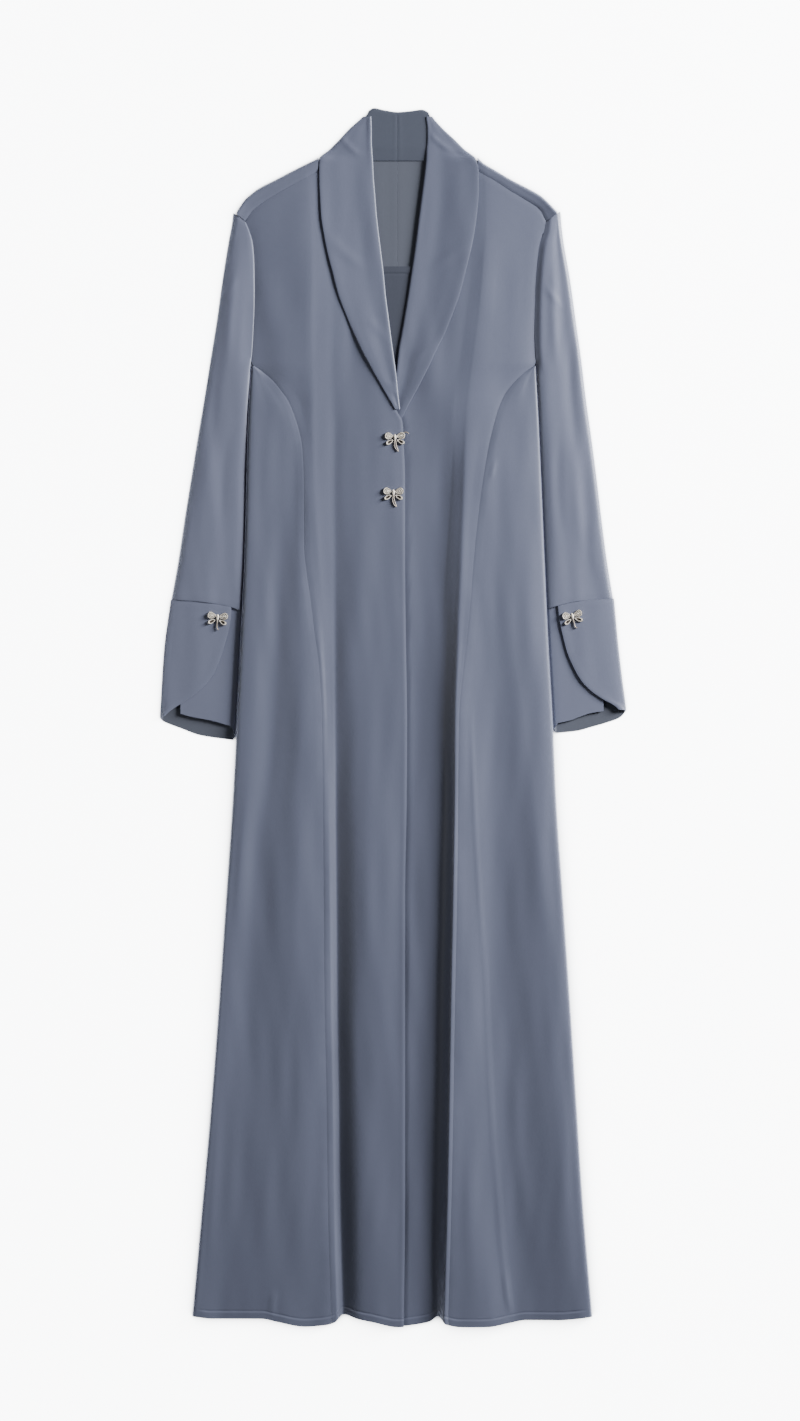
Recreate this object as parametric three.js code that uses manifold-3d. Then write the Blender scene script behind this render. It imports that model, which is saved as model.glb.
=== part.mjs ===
// Abaya: a long open-front robe laid flat on a surface, in millimetres.
// X runs across it, +Y runs to the collar, +Z is up, and the wearer's right is at -X.
import * as THREE from 'three';
import { mergeVertices } from 'three/addons/utils/BufferGeometryUtils.js';
import Module from 'manifold-3d';

const wasm = await Module();
wasm.setup();

// ---------------------------------------------------------------------------------------------
// Driving dimensions
// ---------------------------------------------------------------------------------------------

const CLOTH = 1.0; // wall of every cloth piece
const SEAM = 0.3; // gap between pieces that are sewn edge to edge
const LIFT = 0.3; // gap between layers that lie on each other
const HALF = CLOTH / 2;

const HEM_Y = -748; // level of the hem before its waves
const CENTRE_BACK_X = 5.5; // the centre-back seam
const NECK_SEAM_Y = 695; // the back neck seam
const COLLAR_TOP_Y = 757; // the top of the collar at the back neck
const NECK_POINT_X = { right: -92.5, left: 105 }; // where the collar's outer edge meets the shoulder
const BACK_TURN = 3.2; // mid-surface radius of the back where it turns over the shoulder
const ROLL_RADIUS = 1.3; // mid-surface radius of the collar's roll
const INSET = { right: -42, left: 62, top: 563, bottom: 392 };

// Heights of the mid-surfaces above the surface that the robe rests on.
const FLOOR_Z = HALF;
const INSET_Z = FLOOR_Z + CLOTH + LIFT;
const FRONT_Z = INSET_Z + CLOTH + LIFT;

const CLOTH_COLOUR = 0x5f6a7a;
const METAL_COLOUR = 0x9a9084;

// ---------------------------------------------------------------------------------------------
// Tables: one row for each station down the robe, all at the same named columns
// ---------------------------------------------------------------------------------------------

// Outer edge of the body: the armhole above the underarm, the side seam below it.
const SIDE = {
  right: [
    { y: 619, x: -184 }, { y: 607, x: -179 }, { y: 592, x: -175 }, { y: 566, x: -173 },
    { y: 526, x: -172.5 }, { y: 479, x: -174 }, { y: 440, x: -176.5 }, { y: 371, x: -180.5 },
    { y: 196, x: -185 }, { y: 96, x: -190 }, { y: -4, x: -195 }, { y: -104, x: -200.5 },
    { y: -229, x: -209 }, { y: -354, x: -217.5 }, { y: -479, x: -227 }, { y: -604, x: -238 },
    { y: -748, x: -251 },
  ],
  left: [
    { y: 619, x: 191 }, { y: 607, x: 189 }, { y: 592, x: 183.5 }, { y: 566, x: 180 },
    { y: 526, x: 177.5 }, { y: 479, x: 177 }, { y: 440, x: 178.5 }, { y: 371, x: 182 },
    { y: 196, x: 189.5 }, { y: 96, x: 194 }, { y: -4, x: 199.5 }, { y: -104, x: 204 },
    { y: -229, x: 212.5 }, { y: -354, x: 221 }, { y: -479, x: 229 }, { y: -604, x: 237 },
    { y: -748, x: 249 },
  ],
};

// Shoulder: the fold on top of it, which is the outline, and the forward shoulder seam below it.
const SHOULDER = {
  right: [
    { x: -56, fold: 696.5, seam: 692 }, { x: -92.5, fold: 696.5, seam: 682 },
    { x: -109, fold: 690, seam: 673 },
    { x: -121, fold: 684, seam: 666.5 }, { x: -146, fold: 671, seam: 652.5 },
    { x: -169, fold: 659, seam: 637.5 }, { x: -178, fold: 652, seam: 629 },
    { x: -184, fold: 647, seam: 619 }, { x: -195, fold: 631, seam: 604 },
  ],
  left: [
    { x: 70, fold: 696.5, seam: 692 }, { x: 105, fold: 696.5, seam: 682 },
    { x: 114, fold: 690.5, seam: 677 },
    { x: 125, fold: 684, seam: 671 }, { x: 147, fold: 671, seam: 656.5 },
    { x: 170, fold: 659, seam: 643 }, { x: 184, fold: 651, seam: 633 },
    { x: 191, fold: 645, seam: 619 }, { x: 204.5, fold: 631, seam: 604 },
  ],
};

// Princess seam: from the armhole at the underarm down to the hem.
const UNDERARM_Y = 440;
const PRINCESS = {
  right: [
    { y: 440, x: -176.5 }, { y: 431, x: -163 }, { y: 419, x: -149 }, { y: 409, x: -141 },
    { y: 395, x: -131 },
    { y: 379, x: -124 }, { y: 349, x: -115 }, { y: 331, x: -112.5 }, { y: 296, x: -111 },
    { y: 211, x: -110.5 },
    { y: 181, x: -107.5 }, { y: 146, x: -102.5 }, { y: 101, x: -97 }, { y: 64, x: -92 },
    { y: -4, x: -88 },
    { y: -229, x: -86 }, { y: -354, x: -85 }, { y: -479, x: -82.5 }, { y: -604, x: -81 },
    { y: -748, x: -77 },
  ],
  left: [
    { y: 440, x: 178.5 }, { y: 431, x: 165 }, { y: 419, x: 152.5 }, { y: 405, x: 141 },
    { y: 391, x: 134 },
    { y: 376, x: 129 }, { y: 340, x: 120 }, { y: 296, x: 112.5 }, { y: 259, x: 107.5 },
    { y: 196, x: 101 },
    { y: 131, x: 96 }, { y: 96, x: 92.5 }, { y: 59, x: 88 }, { y: 21, x: 84 }, { y: -4, x: 82.5 },
    { y: -229, x: 80 }, { y: -354, x: 77.5 }, { y: -479, x: 75.5 }, { y: -604, x: 73 },
    { y: -748, x: 69 },
  ],
};

// Centre front: crest of the big fold, how far the cloth turns in under the crest, the trough
// beside it, the swell or dip before the edge, and the free front edge, which the collar is sewn
// to above its tip.
const FRONT = {
  right: [
    { y: 692, crest: -112, tuck: 0, trough: -78, swell: -66, edge: -57 },
    { y: 619, crest: -104, tuck: 0, trough: -78, swell: -65, edge: -55 },
    { y: 566, crest: -103, tuck: 0, trough: -76, swell: -58, edge: -47 },
    { y: 500, crest: -104, tuck: 0, trough: -75, swell: -50, edge: -33 },
    { y: 440, crest: -103, tuck: 0, trough: -75, swell: -44, edge: -14 },
    { y: 409, crest: -102, tuck: 0, trough: -74, swell: -44, edge: 0 },
    { y: 384, crest: -101, tuck: 0, trough: -74, swell: -46, edge: 4 },
    { y: 368, crest: -101, tuck: 0, trough: -73, swell: -48, edge: 12 },
    { y: 349, crest: -100, tuck: 0, trough: -73, swell: -50, edge: 13 },
    { y: 296, crest: -99, tuck: 0, trough: -73, swell: -51, edge: 15 },
    { y: 211, crest: -94, tuck: 0, trough: -72.5, swell: -50, edge: 15 },
    { y: 101, crest: -87, tuck: 0, trough: -72, swell: -47, edge: 16 },
    { y: -4, crest: -82, tuck: 0, trough: -71.5, swell: -46, edge: 17.5 },
    { y: -104, crest: -80.5, tuck: 0, trough: -71, swell: -46, edge: 17 },
    { y: -229, crest: -79, tuck: 0, trough: -70, swell: -46, edge: 15 },
    { y: -354, crest: -77.5, tuck: 0, trough: -69, swell: -46, edge: 15 },
    { y: -479, crest: -75, tuck: 0, trough: -67, swell: -45, edge: 15 },
    { y: -604, crest: -73.5, tuck: 0, trough: -65.5, swell: -44, edge: 15 },
    { y: -748, crest: -70, tuck: 0, trough: -62, swell: -42, edge: 13.5 },
  ],
  left: [
    { y: 692, crest: 116, tuck: 0, trough: 92, swell: 80, edge: 71 },
    { y: 619, crest: 118, tuck: 0, trough: 96, swell: 79, edge: 69 },
    { y: 566, crest: 114, tuck: 0, trough: 97, swell: 76, edge: 58 },
    { y: 500, crest: 108, tuck: 0, trough: 90, swell: 66, edge: 44 },
    { y: 440, crest: 100, tuck: 0, trough: 82, swell: 52, edge: 24 },
    { y: 409, crest: 96, tuck: 0, trough: 77, swell: 50, edge: 15 },
    { y: 379, crest: 93, tuck: 0, trough: 74, swell: 50, edge: 3.5 },
    { y: 338, crest: 90.5, tuck: 0, trough: 73, swell: 50, edge: -9.5 },
    { y: 326, crest: 90, tuck: 0, trough: 73, swell: 50, edge: -14 },
    { y: 296, crest: 89, tuck: 0, trough: 72, swell: 50, edge: -14 },
    { y: 211, crest: 86, tuck: 0, trough: 70, swell: 46, edge: -13 },
    { y: 101, crest: 81, tuck: 1, trough: 68, swell: 36, edge: -12 },
    { y: -4, crest: 77.5, tuck: 2, trough: 65, swell: 33, edge: -11 },
    { y: -104, crest: 77, tuck: 3, trough: 64, swell: 32, edge: -12 },
    { y: -229, crest: 75, tuck: 3, trough: 62, swell: 30, edge: -14 },
    { y: -354, crest: 72.5, tuck: 3, trough: 59.5, swell: 28, edge: -14 },
    { y: -479, crest: 70.5, tuck: 3, trough: 57.5, swell: 26, edge: -14 },
    { y: -604, crest: 68, tuck: 3, trough: 55, swell: 23, edge: -14 },
    { y: -748, crest: 64, tuck: 3, trough: 51, swell: 21, edge: -15 },
  ],
};

// Heights of the centre front above FRONT_Z. The right edge passes over the left collar.
const HEIGHT = {
  right: [
    { y: 690, seam: 0.6, puff: 2.6, crest: 1.6, trough: 0.8, swell: 0.4, edge: 0 },
    { y: 619, seam: 0.6, puff: 4.0, crest: 2.6, trough: 0.8, swell: 0.4, edge: 0 },
    { y: 540, seam: 0.6, puff: 4.4, crest: 3.6, trough: 1.2, swell: 0.6, edge: 0 },
    { y: 500, seam: 0.7, puff: 4.2, crest: 4.0, trough: 1.6, swell: 1.0, edge: 0.4 },
    { y: 440, seam: 0.8, puff: 3.0, crest: 4.6, trough: 2.2, swell: 2.8, edge: 4.6 },
    { y: 400, seam: 2.4, puff: 3.2, crest: 4.9, trough: 2.6, swell: 3.8, edge: 5.2 },
    { y: 371, seam: 3.6, puff: 4.0, crest: 5.2, trough: 2.8, swell: 4.6, edge: 5.8 },
    { y: 296, seam: 5.6, puff: 6.0, crest: 6.4, trough: 3.8, swell: 6.0, edge: 6.4 },
    { y: 246, seam: 6.2, puff: 6.6, crest: 6.8, trough: 4.2, swell: 6.6, edge: 6.6 },
    { y: 96, seam: 7.0, puff: 6.8, crest: 5.6, trough: 3.2, swell: 6.4, edge: 7.0 },
    { y: -4, seam: 6.6, puff: 6.2, crest: 5.2, trough: 3.0, swell: 7.4, edge: 8.2 },
    { y: -229, seam: 5.8, puff: 5.6, crest: 5.0, trough: 3.0, swell: 9.2, edge: 10.6 },
    { y: -416, seam: 5.4, puff: 5.2, crest: 4.6, trough: 2.6, swell: 9.8, edge: 11.2 },
    { y: -604, seam: 6.2, puff: 6.1, crest: 5.4, trough: 2.4, swell: 10.0, edge: 11.4 },
    { y: -748, seam: 4.6, puff: 4.4, crest: 4.0, trough: 1.8, swell: 8.0, edge: 9.4 },
  ],
  left: [
    { y: 690, seam: 0.6, puff: 1.4, crest: 1.6, trough: 0.8, swell: 0.6, edge: 0 },
    { y: 619, seam: 0.6, puff: 2.0, crest: 3.2, trough: 1.6, swell: 0.8, edge: 0 },
    { y: 566, seam: 0.6, puff: 2.4, crest: 5.0, trough: 3.2, swell: 1.4, edge: 0 },
    { y: 500, seam: 0.6, puff: 2.4, crest: 6.2, trough: 4.2, swell: 2.0, edge: 0 },
    { y: 440, seam: 0.8, puff: 3.4, crest: 7.4, trough: 5.0, swell: 2.4, edge: 0 },
    { y: 379, seam: 7.0, puff: 7.4, crest: 8.4, trough: 5.8, swell: 2.6, edge: 0.2 },
    { y: 338, seam: 7.6, puff: 7.8, crest: 8.8, trough: 6.0, swell: 2.6, edge: 0.4 },
    { y: 296, seam: 8.0, puff: 8.3, crest: 9.2, trough: 6.2, swell: 2.4, edge: 0.8 },
    { y: 246, seam: 8.3, puff: 8.8, crest: 9.8, trough: 6.4, swell: 2.2, edge: 1.0 },
    { y: 96, seam: 11.4, puff: 11.7, crest: 11.8, trough: 5.6, swell: 2.0, edge: 1.2 },
    { y: -4, seam: 12.4, puff: 12.7, crest: 12.9, trough: 4.8, swell: 1.8, edge: 1.2 },
    { y: -229, seam: 13.2, puff: 13.5, crest: 13.8, trough: 4.4, swell: 1.6, edge: 1.2 },
    { y: -416, seam: 13.2, puff: 13.5, crest: 13.8, trough: 4.2, swell: 1.6, edge: 1.2 },
    { y: -604, seam: 12.6, puff: 12.9, crest: 13.2, trough: 4.2, swell: 1.6, edge: 1.2 },
    { y: -748, seam: 10.0, puff: 10.3, crest: 10.6, trough: 3.6, swell: 1.6, edge: 1.2 },
  ],
};

// Side front: the broad top inside the side edge, the valley, and the ridge beside the seam.
const SIDE_FRONT = {
  right: [
    { y: 431, top: -172, valley: -171, ridge: -167 },
    { y: 409, top: -163, valley: -157, ridge: -148 },
    { y: 379, top: -156, valley: -142, ridge: -131 },
    { y: 349, top: -158, valley: -138, ridge: -121 },
    { y: 296, top: -164, valley: -140, ridge: -118 },
    { y: 211, top: -167, valley: -140, ridge: -118 },
    { y: 101, top: -171, valley: -144, ridge: -114 },
    { y: -4, top: -176, valley: -148, ridge: -114 },
    { y: -104, top: -184, valley: -158, ridge: -115 },
    { y: -229, top: -200, valley: -176, ridge: -116 },
    { y: -416, top: -214, valley: -184, ridge: -116 },
    { y: -604, top: -228, valley: -200, ridge: -119 },
    { y: -748, top: -240, valley: -214, ridge: -138 },
  ],
  left: [
    { y: 431, top: 174, valley: 173, ridge: 169 }, { y: 409, top: 165, valley: 160, ridge: 152 },
    { y: 379, top: 164, valley: 150, ridge: 139 }, { y: 349, top: 164, valley: 145, ridge: 131 },
    { y: 296, top: 160, valley: 136, ridge: 123 }, { y: 246, top: 154, valley: 128, ridge: 116 },
    { y: 96, top: 152, valley: 126, ridge: 104 }, { y: -4, top: 165, valley: 126, ridge: 98 },
    { y: -104, top: 178, valley: 127, ridge: 95 }, { y: -229, top: 190, valley: 125, ridge: 93 },
    { y: -416, top: 199, valley: 133, ridge: 96 }, { y: -604, top: 216, valley: 143, ridge: 104 },
    { y: -748, top: 232, valley: 158, ridge: 120 },
  ],
};

// Heights of the side front above FRONT_Z, from where it has turned over the side edge.
const SIDE_HEIGHT = {
  right: [
    { y: 431, round: 1.6, top: 1.6, valley: 1.6, ridge: 1.2 },
    { y: 379, round: 3.6, top: 4.4, valley: 4.2, ridge: 3.6 },
    { y: 296, round: 4.8, top: 5.2, valley: 4.6, ridge: 5.2 },
    { y: 246, round: 4.8, top: 5.0, valley: 4.6, ridge: 6.0 },
    { y: 96, round: 6.2, top: 6.6, valley: 4.8, ridge: 7.6 },
    { y: -4, round: 6.4, top: 6.6, valley: 4.6, ridge: 8.0 },
    { y: -229, round: 6.4, top: 6.8, valley: 5.2, ridge: 8.1 },
    { y: -416, round: 6.2, top: 6.4, valley: 4.4, ridge: 7.4 },
    { y: -604, round: 6.2, top: 6.4, valley: 5.4, ridge: 7.7 },
    { y: -748, round: 5.8, top: 6.0, valley: 4.8, ridge: 5.8 },
  ],
  left: [
    { y: 431, round: 1.6, top: 1.6, valley: 1.6, ridge: 1.2 },
    { y: 379, round: 3.6, top: 5.4, valley: 7.2, ridge: 7.6 },
    { y: 296, round: 4.8, top: 6.8, valley: 7.8, ridge: 8.2 },
    { y: 246, round: 5.2, top: 7.4, valley: 7.8, ridge: 8.0 },
    { y: 96, round: 7.6, top: 9.8, valley: 8.4, ridge: 10.6 },
    { y: -4, round: 8.6, top: 10.6, valley: 8.4, ridge: 11.8 },
    { y: -229, round: 11.0, top: 12.8, valley: 8.6, ridge: 12.8 },
    { y: -416, round: 11.4, top: 12.8, valley: 8.0, ridge: 12.6 },
    { y: -604, round: 11.2, top: 12.4, valley: 7.4, ridge: 12.0 },
    { y: -748, round: 9.0, top: 9.8, valley: 5.8, ridge: 9.6 },
  ],
};

// Waves of the hem: how far it lies below HEM_Y.
const HEM_WAVE = [
  { x: -251, drop: 0 }, { x: -224, drop: 3 }, { x: -164, drop: 3 }, { x: -144, drop: 7 },
  { x: -110, drop: 13 }, { x: -84, drop: 11 }, { x: -73, drop: 8 }, { x: -62, drop: -2 },
  { x: -44, drop: 3 }, { x: -24, drop: 7 }, { x: 6, drop: 13 }, { x: 26, drop: 11 },
  { x: 46, drop: 7 }, { x: 56, drop: 0 }, { x: 66, drop: 9.5 }, { x: 86, drop: 13 },
  { x: 116, drop: 13 }, { x: 146, drop: 8 }, { x: 166, drop: 4.5 }, { x: 206, drop: 4.5 },
  { x: 226, drop: 3 }, { x: 249, drop: 0 },
];

// Shawl collar: its outer edge and its roll line, from the tip up to the back neck.
const COLLAR = {
  right: [
    { y: 384, outer: 2.5, roll: 9 }, { y: 400, outer: -7, roll: 7 }, { y: 425, outer: -21.5, roll: 4.5 },
    { y: 451, outer: -36, roll: 1 }, { y: 477, outer: -48.5, roll: -2.5 },
    { y: 504, outer: -60, roll: -6 },
    { y: 527, outer: -68.5, roll: -9 }, { y: 554, outer: -75.5, roll: -11.5 },
    { y: 579, outer: -82, roll: -14.5 }, { y: 599, outer: -86, roll: -17 },
    { y: 625, outer: -90, roll: -20 },
    { y: 650, outer: -91.5, roll: -22 }, { y: 675, outer: -92.5, roll: -24 },
    { y: 696, outer: -92.5, roll: -25 },
    { y: 709, outer: -79, roll: -26 }, { y: 721, outer: -67, roll: -26.5 },
    { y: 734, outer: -55, roll: -26.5 },
    { y: 750, outer: -37.5, roll: -27 }, { y: 758, outer: -31, roll: -27 },
  ],
  left: [
    { y: 338, outer: -6, roll: -13 }, { y: 350, outer: -1, roll: -10.5 },
    { y: 377, outer: 13.5, roll: -5 },
    { y: 390, outer: 20, roll: -2.5 }, { y: 411, outer: 31.5, roll: 1 }, { y: 434, outer: 43.5, roll: 4 },
    { y: 459, outer: 55, roll: 7 }, { y: 481, outer: 66, roll: 11 }, { y: 510, outer: 77.5, roll: 16 },
    { y: 532, outer: 85, roll: 19.5 }, { y: 562, outer: 92.5, roll: 24 },
    { y: 586, outer: 98.5, roll: 27.5 },
    { y: 610, outer: 103, roll: 30.5 }, { y: 634, outer: 106, roll: 33.5 },
    { y: 657, outer: 107.5, roll: 36.5 },
    { y: 681, outer: 107.5, roll: 39.5 }, { y: 696, outer: 104, roll: 41 },
    { y: 709, outer: 89, roll: 41.5 },
    { y: 721, outer: 77, roll: 42.5 }, { y: 734, outer: 63, roll: 42.5 },
    { y: 750, outer: 49, roll: 41 }, { y: 758, outer: 45, roll: 41 },
  ],
};

// Sleeve: outer edge, the fold beside the armhole and the body, and the seam to the cuff.
const SLEEVE = {
  right: [
    { y: 631, outer: -199.5 }, { y: 617.5, outer: -201 }, { y: 596, outer: -205 },
    { y: 546, outer: -213 },
    { y: 496, outer: -220 }, { y: 446, outer: -228 }, { y: 396, outer: -236 }, { y: 346, outer: -244.5 },
    { y: 296, outer: -252.5 }, { y: 246, outer: -260.5 }, { y: 196, outer: -268 },
    { y: 140, outer: -278 },
  ],
  left: [
    { y: 631, outer: 209 }, { y: 617.5, outer: 210 }, { y: 596, outer: 212.5 }, { y: 546, outer: 221 },
    { y: 496, outer: 228 }, { y: 446, outer: 235 }, { y: 396, outer: 241 }, { y: 346, outer: 248 },
    { y: 296, outer: 254.5 }, { y: 246, outer: 260.5 }, { y: 196, outer: 267 }, { y: 140, outer: 276 },
  ],
};
const CUFF_SEAM = {
  right: [
    { x: -278, y: 146.5 }, { x: -248, y: 144.5 }, { x: -216, y: 140.5 }, { x: -202, y: 137 },
    { x: -186, y: 131 },
  ],
  left: [
    { x: 191, y: 134 }, { x: 206, y: 139 }, { x: 222.5, y: 143 }, { x: 238.5, y: 145.5 },
    { x: 277, y: 148 },
  ],
};

// Cuff: outer and inner edge, and the curved free edge of the flap, from the seam to its tip.
const CUFF = {
  right: {
    outer: [{ y: 147, x: -277.5 }, { y: 85, x: -286 }, { y: 0, x: -291.3 }, { y: -30, x: -293 }],
    inner: [{ y: 131, x: -186.5 }, { y: 85, x: -189 }, { y: 37, x: -192 }, { y: -30, x: -195.5 }],
    flap: [
      { y: 147, x: -202 }, { y: 127, x: -202 }, { y: 116, x: -204 }, { y: 104, x: -206.5 },
      { y: 88, x: -211 },
      { y: 70, x: -217 }, { y: 54, x: -224 }, { y: 41, x: -234 }, { y: 28, x: -248 },
      { y: 16, x: -265.5 },
      { y: 7, x: -279 }, { y: 0, x: -286 },
    ],
    underEnd: -265.5,
    flapTip: 1,
    underHem: [
      { x: -265.5, y: 4 }, { x: -248, y: -0.5 }, { x: -227, y: -4.5 }, { x: -211, y: -9 },
      { x: -190, y: -16 },
    ],
    backHem: [
      { x: -294, y: -1 }, { x: -286, y: -6 }, { x: -265.5, y: -14 }, { x: -240, y: -23 },
      { x: -190, y: -30 },
    ],
  },
  left: {
    outer: [
      { y: 148, x: 276 }, { y: 92, x: 281.5 }, { y: 53, x: 286 }, { y: 9, x: 291.3 },
      { y: -20, x: 293 },
    ],
    inner: [{ y: 134, x: 191 }, { y: 85, x: 194.5 }, { y: 45, x: 197.5 }, { y: -21, x: 200.5 }],
    flap: [
      { y: 148, x: 205 }, { y: 121, x: 208 }, { y: 102, x: 212 }, { y: 81, x: 217.5 }, { y: 61, x: 226 },
      { y: 45, x: 235.5 }, { y: 32, x: 248 }, { y: 22, x: 262.5 }, { y: 14, x: 277 }, { y: 8, x: 283 },
    ],
    underEnd: 263,
    flapTip: 9,
    underHem: [
      { x: 263, y: 7.5 }, { x: 248, y: 5 }, { x: 235, y: 1 }, { x: 222, y: -4 }, { x: 196, y: -9.5 },
    ],
    backHem: [
      { x: 292, y: 8 }, { x: 283, y: -1 }, { x: 267, y: -7 }, { x: 248, y: -12.5 },
      { x: 229, y: -17.5 }, { x: 196, y: -20.5 },
    ],
  },
};

// Stations where the walls have a row of points, from the shoulder to the hem.
const STATIONS = [
  619, 598, 576, 552, 525, 495, 468, 452, 440, 434, 424, 406, 384, 366, 338, 296, 240, 180, 101, 20, -70,
  -160, -250, -340, -430, -520, -600, -655, -705, -748,
];

// ---------------------------------------------------------------------------------------------
// Curves and walls
// ---------------------------------------------------------------------------------------------

const OUTWARD = { right: -1, left: 1 };
const { clamp, lerp, smoothstep } = THREE.MathUtils;

// Smooth curve through one named column of a table, with no overshoot between its rows.
function smooth(table, key, name) {
  const rows = [...table].sort((a, b) => a[key] - b[key]);
  const at = rows.map((row) => row[key]);
  const value = rows.map((row) => row[name]);
  const grade = at.slice(1).map((next, i) => (value[i + 1] - value[i]) / (next - at[i]));
  const slope = at.map((_, i) => {
    const before = grade[Math.max(i - 1, 0)];
    const after = grade[Math.min(i, grade.length - 1)];
    return before * after <= 0 ? 0 : (2 * before * after) / (before + after);
  });
  return (place) => {
    const t = clamp(place, at[0], at[at.length - 1]);
    let i = 0;
    while (i < at.length - 2 && t > at[i + 1]) i += 1;
    const span = at[i + 1] - at[i];
    const u = (t - at[i]) / span;
    const v = 1 - u;
    return v * v * ((1 + 2 * u) * value[i] + u * span * slope[i])
      + u * u * ((1 + 2 * v) * value[i + 1] - v * span * slope[i + 1]);
  };
}

// Points of a section: a smooth line through its control points, with a given number of steps in
// each stretch between two of them. A section never dips into the surface that the robe lies on.
function section(control, steps) {
  const places = control.map(([x, z]) => new THREE.Vector3(x, 0, z));
  const curve = new THREE.CatmullRomCurve3(places, false, 'centripetal');
  const stretches = steps.length;
  const points = [];
  steps.forEach((count, i) => {
    const first = i === 0 ? 0 : 1;
    for (let k = first; k <= count; k += 1) points.push(curve.getPoint((i + k / count) / stretches));
  });
  const floor = Math.min(FLOOR_Z, control[0][1], control[control.length - 1][1]);
  return points.map((p) => [p.x, Math.max(p.z, floor)]);
}

// Closed wall of CLOTH thickness on a grid of mid-surface points. keep(row, column) leaves cells out.
function wall(grid, keep = () => true) {
  const rows = grid.length;
  const columns = grid[0].length;
  const at = (r, c) => grid[clamp(r, 0, rows - 1)][clamp(c, 0, columns - 1)];
  const kept = (r, c) => r >= 0 && c >= 0 && r < rows - 1 && c < columns - 1 && keep(r, c);
  const used = (r, c) => kept(r, c) || kept(r - 1, c) || kept(r, c - 1) || kept(r - 1, c - 1);
  const inner = (r, c) => kept(r, c) && kept(r - 1, c) && kept(r, c - 1) && kept(r - 1, c - 1);
  const positions = [];
  const index = new Map();
  for (let r = 0; r < rows; r += 1) {
    for (let c = 0; c < columns; c += 1) {
      if (!used(r, c)) continue;
      const right = kept(r, c) || kept(r - 1, c) ? 1 : 0;
      const left = kept(r, c - 1) || kept(r - 1, c - 1) ? 1 : 0;
      const below = kept(r, c) || kept(r, c - 1) ? 1 : 0;
      const above = kept(r - 1, c) || kept(r - 1, c - 1) ? 1 : 0;
      const across = at(r, c + right).clone().sub(at(r, c - left));
      const along = at(r + below, c).clone().sub(at(r - above, c));
      const normal = across.cross(along).normalize();
      // A seam edge is cut upright, so that its neighbour can lie a constant gap away.
      if (!inner(r, c) && Math.abs(normal.z) > 0.5) normal.set(0, 0, Math.sign(normal.z));
      index.set(r * columns + c, positions.length / 3);
      const point = at(r, c);
      for (const side of [HALF, -HALF]) {
        positions.push(...point.clone().addScaledVector(normal, side).toArray());
      }
    }
  }
  const top = (r, c) => index.get(r * columns + c);
  const faces = [];
  for (let r = 0; r < rows - 1; r += 1) {
    for (let c = 0; c < columns - 1; c += 1) {
      if (!kept(r, c)) continue;
      const ring = [top(r, c), top(r, c + 1), top(r + 1, c + 1), top(r + 1, c)];
      const [a, b, d, e] = ring;
      faces.push(a, b, d, a, d, e, a + 1, d + 1, b + 1, a + 1, e + 1, d + 1);
      const neighbours = [kept(r - 1, c), kept(r, c + 1), kept(r + 1, c), kept(r, c - 1)];
      neighbours.forEach((joined, k) => {
        const [from, to] = [ring[k], ring[(k + 1) % 4]];
        if (!joined) faces.push(to, from, from + 1, to, from + 1, to + 1);
      });
    }
  }
  const geometry = new THREE.BufferGeometry();
  geometry.setAttribute('position', new THREE.Float32BufferAttribute(positions, 3));
  geometry.setIndex(faces);
  return geometry;
}

// Solid for joining, from a closed geometry.
function solidOf(geometry) {
  const bare = geometry.clone();
  bare.deleteAttribute('normal');
  bare.deleteAttribute('uv');
  const merged = mergeVertices(bare);
  const mesh = new wasm.Mesh({
    numProp: 3,
    vertProperties: new Float32Array(merged.attributes.position.array),
    triVerts: new Uint32Array(merged.index.array),
  });
  return new wasm.Manifold(mesh);
}

// One geometry from several that overlap.
function joined(geometries) {
  const result = geometries.map(solidOf).reduce((whole, next) => whole.add(next)).getMesh();
  const geometry = new THREE.BufferGeometry();
  geometry.setAttribute('position', new THREE.BufferAttribute(new Float32Array(result.vertProperties), 3));
  geometry.setIndex(new THREE.BufferAttribute(new Uint32Array(result.triVerts), 1));
  return geometry;
}

const robe = new THREE.Group();
robe.name = 'abaya';

function add(name, geometry, colour = CLOTH_COLOUR, roughness = 0.45, metalness = 0) {
  geometry.computeVertexNormals();
  const material = new THREE.MeshStandardMaterial({ color: colour, roughness, metalness });
  const mesh = new THREE.Mesh(geometry, material);
  mesh.name = name;
  robe.add(mesh);
}

// ---------------------------------------------------------------------------------------------
// Body panels
// ---------------------------------------------------------------------------------------------

// How much of the shoulder's slope and of the hem's waves a station takes.
const TOP_STATION = STATIONS[0];
const shoulderShare = (station) => smoothstep(station, 452, TOP_STATION);
const hemShare = (station) => 1 - smoothstep(station, HEM_Y, -600);

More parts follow.
